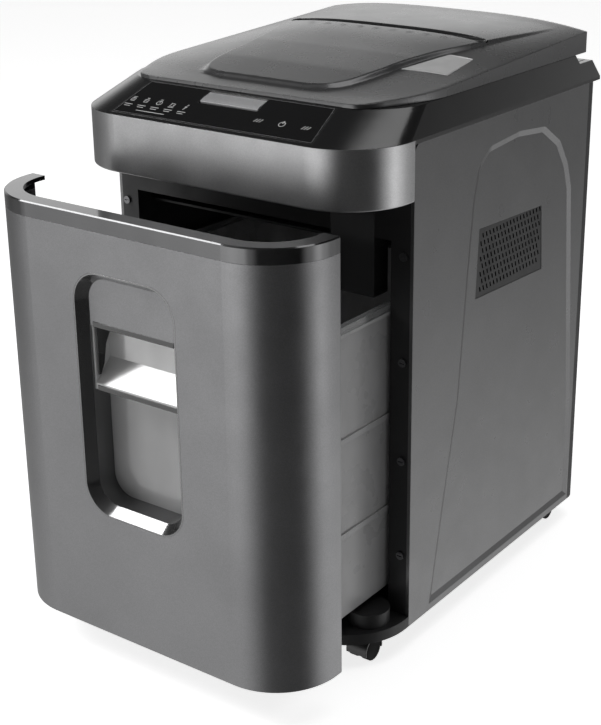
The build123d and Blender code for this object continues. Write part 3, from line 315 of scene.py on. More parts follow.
class Finishes(Enum):
    """The finishes of this machine."""

    GREY_PAINT = Finish("satin grey flake paint", (0.225, 0.225, 0.23), roughness=0.32, metallic=0.72,
                        coat=0.25, coat_roughness=0.3, grain=Grain.FLAKE, grain_size=0.0005,
                        bump=0.000004)
    HEAD_PAINT = Finish("satin grey head paint", (0.4, 0.4, 0.405), roughness=0.32, metallic=0.8,
                        coat=0.3, coat_roughness=0.2, grain=Grain.FLAKE, grain_size=0.0005, bump=0.000003)
    SIDE_PAINT = Finish("satin grey side paint", (0.15, 0.15, 0.152), roughness=0.3, metallic=0.6,
                        coat=0.3, coat_roughness=0.3, grain=Grain.FLAKE, grain_size=0.0005, bump=0.000003)
    LID_PAINT = Finish("satin charcoal lid", (0.105, 0.105, 0.107), roughness=0.27, metallic=0.5,
                       coat=0.4, coat_roughness=0.2, grain_size=0.0012, bump=0.0000008, variation=0.04,
                       edge=0.0001)
    LATCH_PAINT = Finish("silver latch paint", (0.55, 0.55, 0.56), roughness=0.34, metallic=0.25,
                         coat=0.3, coat_roughness=0.2, grain=Grain.FLAKE, grain_size=0.0004,
                         bump=0.000003)
    DECK_BLACK = Finish("semi-gloss black moulding", (0.014, 0.014, 0.0145), roughness=0.2, coat=0.4,
                        coat_roughness=0.18, grain=Grain.LEATHERY, grain_size=0.0007, bump=0.000004)
    PIANO_BLACK = Finish("piano black panel", (0.006, 0.006, 0.0065), roughness=0.07, coat=0.8,
                         coat_roughness=0.04, grain=Grain.WAVY, grain_size=0.02, bump=0.00001,
                         variation=0.12)
    TRIM_BLACK = Finish("gloss black trim", (0.09, 0.09, 0.092), roughness=0.1, metallic=0.85, coat=0.6,
                        coat_roughness=0.05, grain=Grain.WAVY, grain_size=0.03, bump=0.00001,
                        variation=0.1)
    HOUSING = Finish("gloss sensor housing", (0.03, 0.03, 0.031), roughness=0.14, coat=0.7,
                     coat_roughness=0.08, grain=Grain.WAVY, grain_size=0.03, variation=0.1)
    FRAME_BLACK = Finish("textured black plastic", (0.022, 0.022, 0.023), roughness=0.5,
                         grain=Grain.LEATHERY, grain_size=0.0009, bump=0.00003)
    LINER_BLACK = Finish("textured liner plastic", (0.03, 0.03, 0.031), roughness=0.55,
                         grain=Grain.LEATHERY, grain_size=0.0012, bump=0.00004)
    BIN_GREY = Finish("semi-gloss bin plastic", (0.5, 0.5, 0.505), roughness=0.28, coat=0.2,
                      coat_roughness=0.25, grain=Grain.WAVY, grain_size=0.02, bump=0.00003)
    RIM_CLEAR = Finish("translucent rim", (0.75, 0.76, 0.77), roughness=0.12, coat=0.3, grain=Grain.WAVY,
                       grain_size=0.01, bump=0.00003, clear=0.75)
    CLEAR = Finish("clear window plastic", (0.95, 0.95, 0.95), roughness=0.1, coat=0.8,
                   coat_roughness=0.05, grain=Grain.WAVY, grain_size=0.02, variation=0.1, edge=0.0003,
                   clear=0.25)
    PANE = Finish("smoked window pane", (0.72, 0.72, 0.725), roughness=0.2, coat=0.5, grain=Grain.WAVY,
                  grain_size=0.03, bump=0.00001, edge=0.0003, clear=0.15)
    BEZEL = Finish("gloss window surround", (0.2, 0.2, 0.202), roughness=0.12, metallic=0.75, coat=0.5,
                   coat_roughness=0.06, grain=Grain.WAVY, grain_size=0.03, bump=0.00001, variation=0.1)
    # near-white base colour is painted reflection of the bright light on the glossy scoop, lightened further
    # as painted light against the grip plate's shadow
    SCOOP = Finish("finger scoop with painted reflection", (0.95, 0.95, 0.95), roughness=0.16, metallic=0.1, coat=0.5,
                   coat_roughness=0.05, grain=Grain.WAVY, grain_size=0.03, bump=0.00001)
    STEEL = Finish("plated steel", (0.5, 0.5, 0.51), roughness=0.3, metallic=1.0, grain=Grain.BRUSHED,
                   grain_size=0.0008, bump=0.00001, variation=0.12)
    CUTTER = Finish("oiled cutter steel", (0.34, 0.335, 0.33), roughness=0.28, metallic=1.0, coat=0.1,
                    grain=Grain.TURNED, bump=0.00001, variation=0.2)
    SCREW = Finish("black zinc screws", (0.16, 0.16, 0.165), roughness=0.34, metallic=0.9,
                   grain=Grain.TURNED, grain_size=0.0005, bump=0.000008, variation=0.15)
    BRASS = Finish("turned brass", (0.62, 0.44, 0.17), roughness=0.3, metallic=1.0, grain=Grain.TURNED,
                   grain_size=0.0005, bump=0.00001, variation=0.15)
    MOTOR = Finish("zinc plated can", (0.36, 0.36, 0.37), roughness=0.38, metallic=0.9,
                   grain=Grain.TURNED, grain_size=0.001, bump=0.00001, variation=0.15)
    NYLON = Finish("natural nylon", (0.62, 0.6, 0.52), roughness=0.42, grain_size=0.001, bump=0.00001)
    RUBBER = Finish("ground rubber", (0.02, 0.02, 0.02), roughness=0.8, grain=Grain.LEATHERY,
                    grain_size=0.0008, bump=0.00005, variation=0.15)
    BOARD = Finish("lacquered board", (0.02, 0.12, 0.05), roughness=0.3, coat=0.4, coat_roughness=0.15,
                   grain_size=0.002, bump=0.00001, variation=0.25)
    MOULDED = Finish("plain black moulding", (0.016, 0.016, 0.0165), roughness=0.38, grain=Grain.LEATHERY,
                     bump=0.00001)
    PRINT = Finish("pale printed ink", (0.8, 0.8, 0.8), roughness=0.45, grain_size=0.0008, bump=0.000002,
                   variation=0.05, edge=0.00002)
    GHOST = Finish("faint printed ink", (0.3, 0.3, 0.305), roughness=0.4, metallic=0.2, grain_size=0.0008,
                   bump=0.000002, variation=0.1, edge=0.00002)


NODE_FINISH = {
    Finishes.GREY_PAINT: ("drawer_front", "grip_plate"),
    Finishes.HEAD_PAINT: ("head_band",),
    Finishes.SIDE_PAINT: ("side_panel_left", "side_panel_right"),
    Finishes.LID_PAINT: ("lid_shell", "throat_guide"),
    Finishes.LATCH_PAINT: ("latch_tab",),
    Finishes.DECK_BLACK: ("deck_cover",),
    Finishes.PIANO_BLACK: ("control_panel",),
    Finishes.TRIM_BLACK: ("drawer_cap",),
    Finishes.BEZEL: ("window_bezel",),
    Finishes.FRAME_BLACK: ("base_plate", "front_frame", "rear_cover", "rocker_bezel",
                           "feed_tray", "side_grilles"),
    Finishes.HOUSING: ("sensor_housing",),
    Finishes.LINER_BLACK: ("bay_liner",),
    Finishes.BIN_GREY: ("bin_shell",),
    Finishes.RIM_CLEAR: ("bin_rim",),
    Finishes.CLEAR: ("lid_window",),
    Finishes.PANE: ("window_pane",),
    Finishes.SCOOP: ("finger_scoop",),
    Finishes.STEEL: ("cutter_plates", "tie_rods", "stripper_bars", "slide_rails", "gear_pins",
                     "lid_hinge_rod", "feed_shaft", "motor_rotor"),
    Finishes.CUTTER: ("rear_cutter", "front_cutter"),
    Finishes.SCREW: ("frame_screws", "cover_screws"),
    Finishes.BRASS: ("bearing_bushes",),
    Finishes.MOTOR: ("motor_can",),
    Finishes.NYLON: ("final_gear", "idler_gear", "compound_gear"),
    Finishes.RUBBER: ("feed_tyres", "pressure_pads"),
    Finishes.BOARD: ("power_board",),
    Finishes.MOULDED: ("mains_inlet", "power_rocker", "drawer_frame", "slide_runners", "pressure_plate"),
}


@dataclass
class Frame:
    """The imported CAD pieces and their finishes.

    Args:
        nodes: CAD objects by name.
    """

    nodes: dict[str, Piece]

    def dress(self) -> None:
        """Give every CAD piece its finish."""
        finish_of = {name: finish for finish, names in NODE_FINISH.items() for name in names}
        for name, obj in self.nodes.items():
            default = Finishes.RUBBER if name.startswith("caster_wheels") else Finishes.MOULDED
            made = finish_of.get(name, default).value.material()
            obj.data.materials.clear()
            obj.data.materials.append(made)
            Bench.smooth(obj, CAD_SMOOTH)
            LOG.info("dressed %s", name)


class Bench:
    """Modelling moves shared by the sub-assemblies."""

    @staticmethod
    def pick(obj: Piece) -> None:
        """Select one object alone and make it active.

        Args:
            obj: the object.
        """
        Bench.clear()
        obj.select_set(True)
        bpy.context.view_layer.objects.active = obj

    @staticmethod
    def settle(obj: Piece, name: str, finish: Finishes, body: str) -> Piece:
        """Name a piece, put its place in its mesh, dress it and let it ride on a body.

        Args:
            obj: the piece.
            name: its name.
            finish: its finish.
            body: the CAD body it moves with.

        Returns:
            The piece.
        """
        obj.name = name
        obj.data.name = name
        Bench.pick(obj)
        bpy.ops.object.transform_apply(location=True, rotation=True, scale=True)
        obj.data.materials.clear()
        obj.data.materials.append(finish.value.material())
        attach(obj, body)
        return obj

    @staticmethod
    def cube(low: Triple, high: Triple, bevel: float) -> Piece:
        """Model a block with rounded edges.

        Args:
            low: lowest corner, in metres.
            high: highest corner, in metres.
            bevel: edge rounding, in metres.

        Returns:
            The block.
        """
        Bench.clear()
        middle = [(a + b) / 2 for a, b in zip(low, high)]
        bpy.ops.mesh.primitive_cube_add(size=1.0, location=middle)
        block = bpy.context.object
        block.scale = [b - a for a, b in zip(low, high)]
        bpy.ops.object.transform_apply(location=True, rotation=True, scale=True)
        if bevel > 0:
            bpy.ops.object.mode_set(mode="EDIT")
            bpy.ops.mesh.select_all(action="SELECT")
            bpy.ops.mesh.bevel(offset=bevel, segments=3, affect="EDGES")
            bpy.ops.object.mode_set(mode="OBJECT")
        return block

    @staticmethod
    def clear() -> None:
        """Leave edit mode and deselect everything."""
        if bpy.context.object and bpy.context.object.mode != "OBJECT":
            bpy.ops.object.mode_set(mode="OBJECT")
        bpy.ops.object.select_all(action="DESELECT")

    @staticmethod
    def raise_up(obj: Piece, height: float) -> Piece:
        """Extrude the new flat piece that is active into a closed prism.

        Args:
            obj: the piece.
            height: how far it is extruded along z, down if it is negative.

        Returns:
            The piece.
        """
        bpy.ops.object.mode_set(mode="EDIT")
        bpy.ops.mesh.select_all(action="SELECT")
        bpy.ops.mesh.extrude_region_move(TRANSFORM_OT_translate={"value": (0, 0, height)})
        bpy.ops.object.mode_set(mode="OBJECT")
        Bench.clean(obj)
        return obj

    @staticmethod
    def apply(obj: Piece, kind: str, **settings: object) -> None:
        """Add a modifier and apply it.

        Args:
            obj: the piece.
            kind: modifier type.
            settings: the modifier's settings.
        """
        Bench.pick(obj)
        modifier = obj.modifiers.new(kind.lower(), kind)
        for key, value in settings.items():
            setattr(modifier, key, value)
        bpy.ops.object.modifier_apply(modifier=modifier.name)

    @staticmethod
    def join(parts: list[Piece]) -> Piece:
        """Join pieces into the first one.

        Args:
            parts: the pieces.

        Returns:
            The joined piece.
        """
        Bench.pick(parts[0])
        for part in parts[1:]:
            part.select_set(True)
        bpy.ops.object.join()
        return parts[0]

    @staticmethod
    def smooth(obj: Piece, angle: float = MESH_SMOOTH) -> None:
        """Shade a piece smooth below an angle.

        Args:
            obj: the piece.
            angle: the angle in degrees.
        """
        Bench.pick(obj)
        bpy.ops.object.shade_smooth_by_angle(angle=math.radians(angle))

    @staticmethod
    def clean(obj: Piece) -> None:
        """Merge doubles and point the faces outwards.

        Args:
            obj: the piece.
        """
        Bench.pick(obj)
        bpy.ops.object.mode_set(mode="EDIT")
        bpy.ops.mesh.select_all(action="SELECT")
        bpy.ops.mesh.remove_doubles(threshold=1e-6)
        bpy.ops.mesh.normals_make_consistent(inside=False)
        bpy.ops.object.mode_set(mode="OBJECT")


def between(knots: Knots, at: float) -> float:
    """Read a table of knots with straight lines between them, or held at its ends.

    Args:
        knots: pairs of place and value, by rising place.
        at: the place.

    Returns:
        The value.
    """
    if at <= knots[0][0]:
        return knots[0][1]
    for (p, u), (q, v) in zip(knots, knots[1:]):
        if at <= q:
            return u + (v - u) * (at - p) / (q - p)
    return knots[-1][1]


def eased(knots: Knots, at: float) -> float:
    """Read a table of knots as a smooth curve through them.

    Args:
        knots: pairs of place and value, by rising place.
        at: the place.

    Returns:
        The value.
    """
    if at <= knots[0][0] or at >= knots[-1][0]:
        return between(knots, at)
    i = max(k for k in range(len(knots) - 1) if knots[k][0] <= at)
    slope = [(knots[min(k + 1, len(knots) - 1)][1] - knots[max(k - 1, 0)][1])
             / (knots[min(k + 1, len(knots) - 1)][0] - knots[max(k - 1, 0)][0]) for k in (i, i + 1)]
    (p, u), (q, v) = knots[i], knots[i + 1]
    t, w = (at - p) / (q - p), q - p
    return ((2 * t ** 3 - 3 * t ** 2 + 1) * u + (t ** 3 - 2 * t ** 2 + t) * w * slope[0]
            + (3 * t ** 2 - 2 * t ** 3) * v + (t ** 3 - t ** 2) * w * slope[1])


@dataclass
class Lid:
    """The crowned lid with its raised plate, throat, small window and hinge arms.

    Lengths are in millimetres. Depths count back from the front frame's face.

    Args:
        frame_y: place of the front frame's face.
        front: depth of the lid's front edge.
        rear: depth of its rear edge.
        seam: height of its lower edge.
        outline: half width by depth.
        edge: height of the rim by depth.
        crown: rise of the middle over the rim by depth.
        plate: half width of the raised plate by depth.
        step: height of the plate over the lid by depth.
        slope: width of the plate's sloping edge.
        wall: thickness.
        throat: half length, half width and depth of the hand-feed throat.
        pane: corners of the small window as half width and depth.
        hinge: depth and height of the hinge axis.
        roundness: power by which the crown falls off towards the sides.
        skirt_drop: first step of the skirt down from the rim.
        rim_radius: rounding of the rim.
        cut_reach: lowest and highest height of what is cut out of the shell.
        lug: half distance between the hinge lugs, half width and top of their notches.
        lining_heights: lower end of the throat's lining, and its height before it follows the crown.
        lining_wall: thickness of the lining.
        arm: inner and outer reach across of a hinge arm.
        arm_size: half depth of a hinge arm, and its rise over the hinge axis.
        hanger: inner and outer reach across of a pressure plate hanger.
        hanger_place: depth, bottom and top of a hanger.
        ring_marks: number, pitch and distance ahead of the throat of the printed rings.
    """

    frame_y: float = -84.0
    front: float = -17.0
    rear: float = 349.0
    seam: float = 528.3
    outline: Knots = ((-17, 112), (-15, 122), (-8, 132), (12, 142.5), (32, 151), (52, 157), (70, 159.4),
                      (90, 160), (349, 160))
    edge: Knots = ((-17, 531.6), (349, 549.5))
    crown: Knots = ((-17, 0.4), (12, 1.6), (110, 7.4), (215, 13.5), (349, 9.8))
    plate: Knots = ((12, 50), (16, 63), (24, 73), (40, 81), (80, 88), (102, 90), (148, 99), (181, 109),
                    (215, 116), (250, 121), (300, 128), (349, 133))
    step: Knots = ((12, 3.6), (60, 4.6), (120, 4.6), (215, 2.6), (300, 0.6), (330, 0.0))
    slope: float = 6.5
    wall: float = 2.8
    throat: Triple = (116.0, 4.0, 215.0)
    pane: Knots = ((96, 97), (141, 106), (134, 164), (110, 161))
    hinge: Pair = (337.0, 536.0)
    roundness: float = 3.2
    skirt_drop: float = 3.0
    rim_radius: float = 2.0
    cut_reach: Pair = (505.0, 575.0)
    lug: Triple = (121.0, 4.0, 542.0)
    lining_heights: Pair = (514.0, 545.0)
    lining_wall: float = 1.5
    arm: Pair = (108.0, 117.3)
    arm_size: Pair = (5.2, 9.0)
    hanger: Pair = (103.0, 107.0)
    hanger_place: Triple = (62.0, 521.2, 536.0)
    ring_marks: tuple[int, float, float] = (9, 20.0, 17.0)

    def height(self, x: float, depth: float) -> float:
        """Height of the lid's surface.

        Args:
            x: place across.
            depth: place back from the frame.

        Returns:
            The height.
        """
        half = eased(self.outline, depth)
        share = min(1.0, abs(x) / half)
        base = between(self.edge, depth) + eased(self.crown, depth) * (1 - share ** self.roundness)
        return base + between(self.step, depth) * self.inside(abs(x), depth)

    def inside(self, x: float, depth: float) -> float:
        """Share of the plate's height at a place, 1 on the plate and 0 off it.

        Args:
            x: place across, from the middle.
            depth: place back from the frame.

        Returns:
            The share.
        """
        across = (eased(self.plate, depth) - x) / self.slope
        along = (depth - self.plate[0][0]) / self.slope
        if depth < self.plate[3][0]:
            reach = [math.hypot(x - half, depth - at) for at, half in self._plate_front()]
            within = x < eased(self.plate, depth) and along > 0
            across = along = min(reach) / self.slope * (1 if within else -1)
        share = min(1.0, max(0.0, min(across, along) + 1.0))
        return share * share * (3 - 2 * share)

    def _plate_front(self) -> list[Pair]:
        """Dense points round the plate's front edge and corner, as depth and half width."""
        first = self.plate[0]
        edge = [(first[0], first[1] * k / 25) for k in range(26)]
        return edge + [(first[0] + 0.5 * k, eased(self.plate, first[0] + 0.5 * k)) for k in range(90)]

    def build(self) -> list[Piece]:
        """Model and dress the lid.

        Returns:
            The pieces.
        """
        shell = self.shell()
        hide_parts("lid_shell")
        lining = self.lining()
        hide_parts("throat_guide")
        pane = self.window()
        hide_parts("lid_window")
        return [shell, lining, pane, self.arms(), self.marks()]

    def _rows(self) -> list[float]:
        """Depths of the grid's rows, close together at the plate's front edge."""
        near = [self.front + 0.6 * k * k / 4 for k in range(8)]
        edge = [self.plate[0][0] - self.slope - 1 + 1.2 * k for k in range(28)]
        rest = [edge[-1] + (self.rear - edge[-1]) * k / 74 for k in range(1, 75)]
        return [d for d in near if d < edge[0] - 0.4] + edge + rest

    def _columns(self, depth: float) -> list[float]:
        """Places across of one row's points, from the middle out, close together at the plate's edge.

        Args:
            depth: the row's depth.
        """
        half = eased(self.outline, depth)
        plate = min(eased(self.plate, max(depth, self.plate[0][0])), half - self.slope - 3)
        inner = [(plate - 1) * (k / 22) for k in range(23)]
        slope = [plate - 1 + (self.slope + 2) * k / 8 for k in range(1, 9)]
        outer = [slope[-1] + (half - slope[-1]) * k / 14 for k in range(1, 15)]
        return inner + slope + outer

    def shell(self) -> Piece:
        """Model the lid's shell from a grid, with its skirt, wall and openings.

        Returns:
            The shell.
        """
        rows = self._rows()
        columns = [self._columns(depth) for depth in rows]
        across = len(columns[0])
        Bench.clear()
        bpy.ops.mesh.primitive_grid_add(x_subdivisions=2 * across - 2, y_subdivisions=len(rows) - 1, size=2.0)
        shell = bpy.context.object
        wide = 2 * across - 1
        for i, vertex in enumerate(shell.data.vertices):
            depth = rows[i // wide]
            place = i % wide - (across - 1)
            x = math.copysign(columns[i // wide][abs(place)], place)
            vertex.co = (x * MM, (self.frame_y + depth) * MM, self.height(x, depth) * MM)
        bpy.ops.object.mode_set(mode="EDIT")
        bpy.ops.mesh.select_all(action="SELECT")
        bpy.ops.mesh.region_to_loop()
        bpy.ops.mesh.extrude_region_move(TRANSFORM_OT_translate={"value": (0, 0, -self.skirt_drop * MM)})
        bpy.ops.transform.resize(value=(1, 1, 0), center_override=(0, 0, self.seam * MM))
        bpy.ops.object.mode_set(mode="OBJECT")
        Bench.apply(shell, "BEVEL", width=self.rim_radius * MM, segments=3, limit_method="ANGLE",
                    angle_limit=math.radians(50), use_clamp_overlap=True)
        Bench.clean(shell)
        Bench.apply(shell, "SOLIDIFY", thickness=self.wall * MM, offset=-1.0)
        Bench.apply(shell, "BOOLEAN", object=self._cutter(), operation="DIFFERENCE", solver="EXACT")
        bpy.data.objects.remove(bpy.data.objects["lid cutter"])
        Bench.smooth(shell)
        return Bench.settle(shell, "lid_cover", Finishes.LID_PAINT, "lid")

    def _slot(self, grow: float, low: float, high: float) -> Piece:
        """Model a prism with round ends over the throat.

        Args:
            grow: how much it is larger than the throat.
            low: lower height.
            high: upper height.

        Returns:
            The prism.
        """
        half, radius, depth = self.throat
        Bench.clear()
        bpy.ops.mesh.primitive_circle_add(vertices=28, radius=(radius + grow) * MM, fill_type="NGON",
                                          location=(0, (self.frame_y + depth) * MM, low * MM))
        slot = bpy.context.object
        bpy.ops.object.transform_apply(location=True)
        for vertex in slot.data.vertices:
            vertex.co.x += math.copysign((half - radius) * MM, vertex.co.x)
        return Bench.raise_up(slot, (high - low) * MM)

    def _cutter(self) -> Piece:
        """Model what the throat, the window and the hinge lugs take out of the shell.

        Returns:
            The cutter.
        """
        low, high = self.cut_reach
        parts = [self._slot(3.0, low, high), self._patch(high, low, 1)]
        y0, y1 = (self.frame_y + self.hinge[0] + 6) * MM, (self.frame_y + self.rear + 3) * MM
        place, half, top = self.lug
        for x in (-place, place):
            parts.append(Bench.cube(((x - half) * MM, y0, (self.seam - 5) * MM),
                                    ((x + half) * MM, y1, top * MM), 0))
        cutter = Bench.join(parts)
        cutter.name = "lid cutter"
        cutter.hide_render = True
        return cutter

    def _patch(self, top: float | None, bottom: float | None, cuts: int) -> Piece:
        """Model a four-sided patch over the window, as a prism or as a skin on the lid's surface.

        Args:
            top: upper height, or None to follow the surface.
            bottom: lower height, or None for a skin.
            cuts: squares along each side.

        Returns:
            The patch.
        """
        Bench.clear()
        bpy.ops.mesh.primitive_grid_add(x_subdivisions=cuts, y_subdivisions=cuts, size=2.0)
        patch = bpy.context.object
        a, b, c, d = (Vector(corner) for corner in self.pane)
        for vertex in patch.data.vertices:
            u, v = (vertex.co.x + 1) / 2, (vertex.co.y + 1) / 2
            x, depth = a.lerp(b, u).lerp(d.lerp(c, u), v)
            z = self.height(x, depth) + 0.5 if top is None else top
            vertex.co = (x * MM, (self.frame_y + depth) * MM, z * MM)
        return patch if bottom is None else Bench.raise_up(patch, (bottom - top) * MM)

    def window(self) -> Piece:
        """Model the clear window.

        Returns:
            The window.
        """
        pane = self._patch(None, None, 14)
        Bench.apply(pane, "SOLIDIFY", thickness=3.0 * MM, offset=-1.0)
        Bench.apply(pane, "BEVEL", width=0.7 * MM, segments=3, limit_method="ANGLE",
                    angle_limit=math.radians(60))
        Bench.clean(pane)
        Bench.smooth(pane)
        return Bench.settle(pane, "lid_pane", Finishes.CLEAR, "lid")

    def lining(self) -> Piece:
        """Model the throat's lining, with a lip that follows the lid's crown.

        Returns:
            The lining.
        """
        low, high = self.lining_heights
        lining = self._slot(0.0, low, high)
        Bench.pick(lining)
        bpy.ops.object.mode_set(mode="EDIT")
        bpy.ops.mesh.select_mode(type="FACE")
        bpy.ops.mesh.select_all(action="DESELECT")
        bpy.ops.object.mode_set(mode="OBJECT")
        for face in lining.data.polygons:
            face.select = abs(face.normal.z) > 0.9
        bpy.ops.object.mode_set(mode="EDIT")
        bpy.ops.mesh.delete(type="ONLY_FACE")
        bpy.ops.mesh.select_mode(type="VERT")
        bpy.ops.object.mode_set(mode="OBJECT")
        for vertex in lining.data.vertices:
            if vertex.co.z > (low + 5) * MM:
                depth = vertex.co.y / MM - self.frame_y
                vertex.co.z = (self.height(vertex.co.x / MM, depth) + 0.4) * MM
                vertex.co.y += math.copysign(1.4 * MM, depth - self.throat[2])
        Bench.apply(lining, "SOLIDIFY", thickness=self.lining_wall * MM, offset=1.0)
        Bench.clean(lining)
        Bench.apply(lining, "BEVEL", width=0.35 * MM, segments=2, limit_method="ANGLE",
                    angle_limit=math.radians(60))
        Bench.smooth(lining)
        return Bench.settle(lining, "throat_lining", Finishes.DECK_BLACK, "lid")

    def arms(self) -> Piece:
        """Model the hinge arms and the pressure plate's hangers under the lid.

        Returns:
            The arms as one piece.
        """
        y, z = (self.frame_y + self.hinge[0]) * MM, self.hinge[1] * MM
        half, rise = self.arm_size[0] * MM, self.arm_size[1] * MM
        depth, bottom, top = self.hanger_place
        hanger = (self.frame_y + depth) * MM
        parts = []
        for side in (-1, 1):
            x0, x1 = sorted(side * reach * MM for reach in self.arm)
            parts.append(Bench.cube((x0, y - half, z - half), (x1, y + half, z + rise), 1.6 * MM))
            x0, x1 = sorted(side * reach * MM for reach in self.hanger)
            parts.append(Bench.cube((x0, hanger - 5 * MM, bottom * MM), (x1, hanger + 5 * MM, top * MM),
                                    1.0 * MM))
        arms = Bench.join(parts)
        Bench.smooth(arms)
        return Bench.settle(arms, "lid_arms", Finishes.MOULDED, "lid")

    def marks(self) -> Piece:
        """Print the row of ring marks ahead of the throat.

        Returns:
            The marks as one piece.
        """
        count, pitch, ahead = self.ring_marks
        places = [(k - count // 2) * pitch for k in range(count)]
        row = self.throat[2] - ahead
        parts = [Marks.ring(x, row, 3.7, 0.45) for x in places]
        parts += [Marks.bar(x, row, 2.6, 0.7, 55) for x in places]
        marks = Bench.join(parts)
        for vertex in marks.data.vertices:
            x, depth, rise = vertex.co
            vertex.co = (x * MM, (self.frame_y + depth) * MM, (self.height(x, depth) + 0.03 + rise) * MM)
        return Bench.settle(marks, "throat_marks", Finishes.GHOST, "lid")


class Marks:
    """Flat printed shapes, drawn in millimetres on a level sheet before they are laid on a surface.

    INK is the thickness of the print.
    """

    INK = 0.05

    @staticmethod
    def bar(x: float, y: float, length: float, width: float, turn: float = 0.0) -> Piece:
        """Draw a bar.

        Args:
            x: its middle across.
            y: its middle up the sheet.
            length: its length.
            width: its width.
            turn: its turn from level, in degrees.

        Returns:
            The bar.
        """
        Bench.clear()
        bpy.ops.mesh.primitive_plane_add(size=1.0, location=(x, y, 0), rotation=(0, 0, math.radians(turn)))
        bar = bpy.context.object
        bar.scale = (length, width, 1)
        bpy.ops.object.transform_apply(location=True, rotation=True, scale=True)
        return Bench.raise_up(bar, Marks.INK)

    @staticmethod
    def ring(x: float, y: float, radius: float, width: float, corners: int = 28) -> Piece:
        """Draw a ring.

        Args:
            x: its middle across.
            y: its middle up the sheet.
            radius: its outer radius.
            width: the width of its line.
            corners: its number of corners.

        Returns:
            The ring.
        """
        Bench.clear()
        turn = math.radians(45.0) if corners == 4 else 0.0
        bpy.ops.mesh.primitive_circle_add(vertices=corners, radius=radius, fill_type="NGON",
                                          location=(x, y, 0), rotation=(0, 0, turn))
        ring = bpy.context.object
        bpy.ops.object.transform_apply(location=True, rotation=True, scale=True)
        bpy.ops.object.mode_set(mode="EDIT")
        bpy.ops.mesh.select_all(action="SELECT")
        bpy.ops.mesh.inset(thickness=width)
        bpy.ops.mesh.delete(type="FACE")
        bpy.ops.object.mode_set(mode="OBJECT")
        return Bench.raise_up(ring, Marks.INK)


@dataclass
class ControlPanel:
    """Printed marks of the sloped touch panel, in millimetres.

    Args:
        foot: depth and height of the slope's lower edge.
        tilt: slope of the panel from level, in degrees.
        lights: places across of the status marks.
        light_row: height up the slope of the status marks.
        keys: places across of the touch keys.
        key_row: height up the slope of the touch keys.
        lift: gap between the panel's face and the back of the print.
    """

    foot: Pair = (-156.0, 504.5)
    tilt: float = math.degrees(math.atan2(531 - 504.5, 59.0))
    lights: tuple[float, ...] = (-105.0, -89.0, -73.0, -57.0, -41.0)
    light_row: float = 26.5
    keys: tuple[float, ...] = (44.0, 70.0, 96.0)
    key_row: float = 24.0
    lift: float = 0.23

    def build(self) -> list[Piece]:
        """Model and dress the printed marks.

        Returns:
            The pieces.
        """
        return [self._lay(self._status(), "status_marks"), self._lay(self._touch(), "touch_key_marks"),
                self._lay(self._border(), "panel_border_line")]

    def _status(self) -> list[Piece]:
        """Draw the five status marks and the short lines under them."""
        row, a, b, c, d, e = self.light_row, *self.lights
        bar, ring = Marks.bar, Marks.ring
        parts = [ring(a, row, 3.4, 0.6, 4), bar(a, row, 5.4, 0.6, 90), bar(a, row + 4, 5, 0.6),
                 ring(b, row, 3.4, 0.6, 4), bar(b, row + 4.2, 3, 0.8), bar(b, row, 2.4, 0.7),
                 ring(c, row, 3.2, 0.7), bar(c, row + 1, 3.2, 0.7, 90), bar(c, row + 4.6, 3, 0.7),
                 ring(d, row, 3.4, 0.6, 4), bar(d + 1.2, row, 1, 1, 0), bar(d, row - 3.6, 6.4, 0.7),
                 bar(e, row + 1.6, 5.2, 0.9, 62), bar(e, row - 1.8, 5.2, 0.9, 62), bar(e, row, 3.2, 0.8)]
        for x in self.lights:
            parts += [Marks.bar(x, row - 7.5, 9.5, 0.8), Marks.bar(x, row - 10.2, 7.0, 0.8)]
        parts.append(Marks.bar(self.lights[2], row - 15.0, 34.0, 0.8))
        return parts

    def _touch(self) -> list[Piece]:
        """Draw the reverse, power and forward keys."""
        left, power, right = self.keys
        row = self.key_row
        parts = [Marks.bar(x + 3.0 * (k - 1), row, 5.0, 0.75, 66) for x in (left, right) for k in range(3)]
        parts += [Marks.ring(power, row, 3.5, 0.75), Marks.bar(power, row + 2.8, 4.2, 0.9, 90)]
        return parts

    def _border(self) -> list[Piece]:
        """Draw the thin line round the panel."""
        parts = [Marks.bar(0, 55.6, 210.5, 0.35), Marks.bar(0, 6.2, 226.5, 0.35)]
        for side in (-1, 1):
            parts.append(Marks.bar(side * 109.4, 30.9, 50.0, 0.35, side * 98.7))
        return parts

    def _lay(self, parts: list[Piece], name: str) -> Piece:
        """Lay drawn marks on the slope.

        Args:
            parts: the marks.
            name: name of the piece.

        Returns:
            The piece.
        """
        piece = Bench.join(parts)
        lean = math.radians(self.tilt)
        for vertex in piece.data.vertices:
            x, up, rise = vertex.co
            rise += self.lift
            vertex.co = (x * MM, (self.foot[0] + up * math.cos(lean) - rise * math.sin(lean)) * MM,
                         (self.foot[1] + up * math.sin(lean) + rise * math.cos(lean)) * MM)
        faint = name == "panel_border_line"
        return Bench.settle(piece, name, Finishes.GHOST if faint else Finishes.PRINT, "chassis")


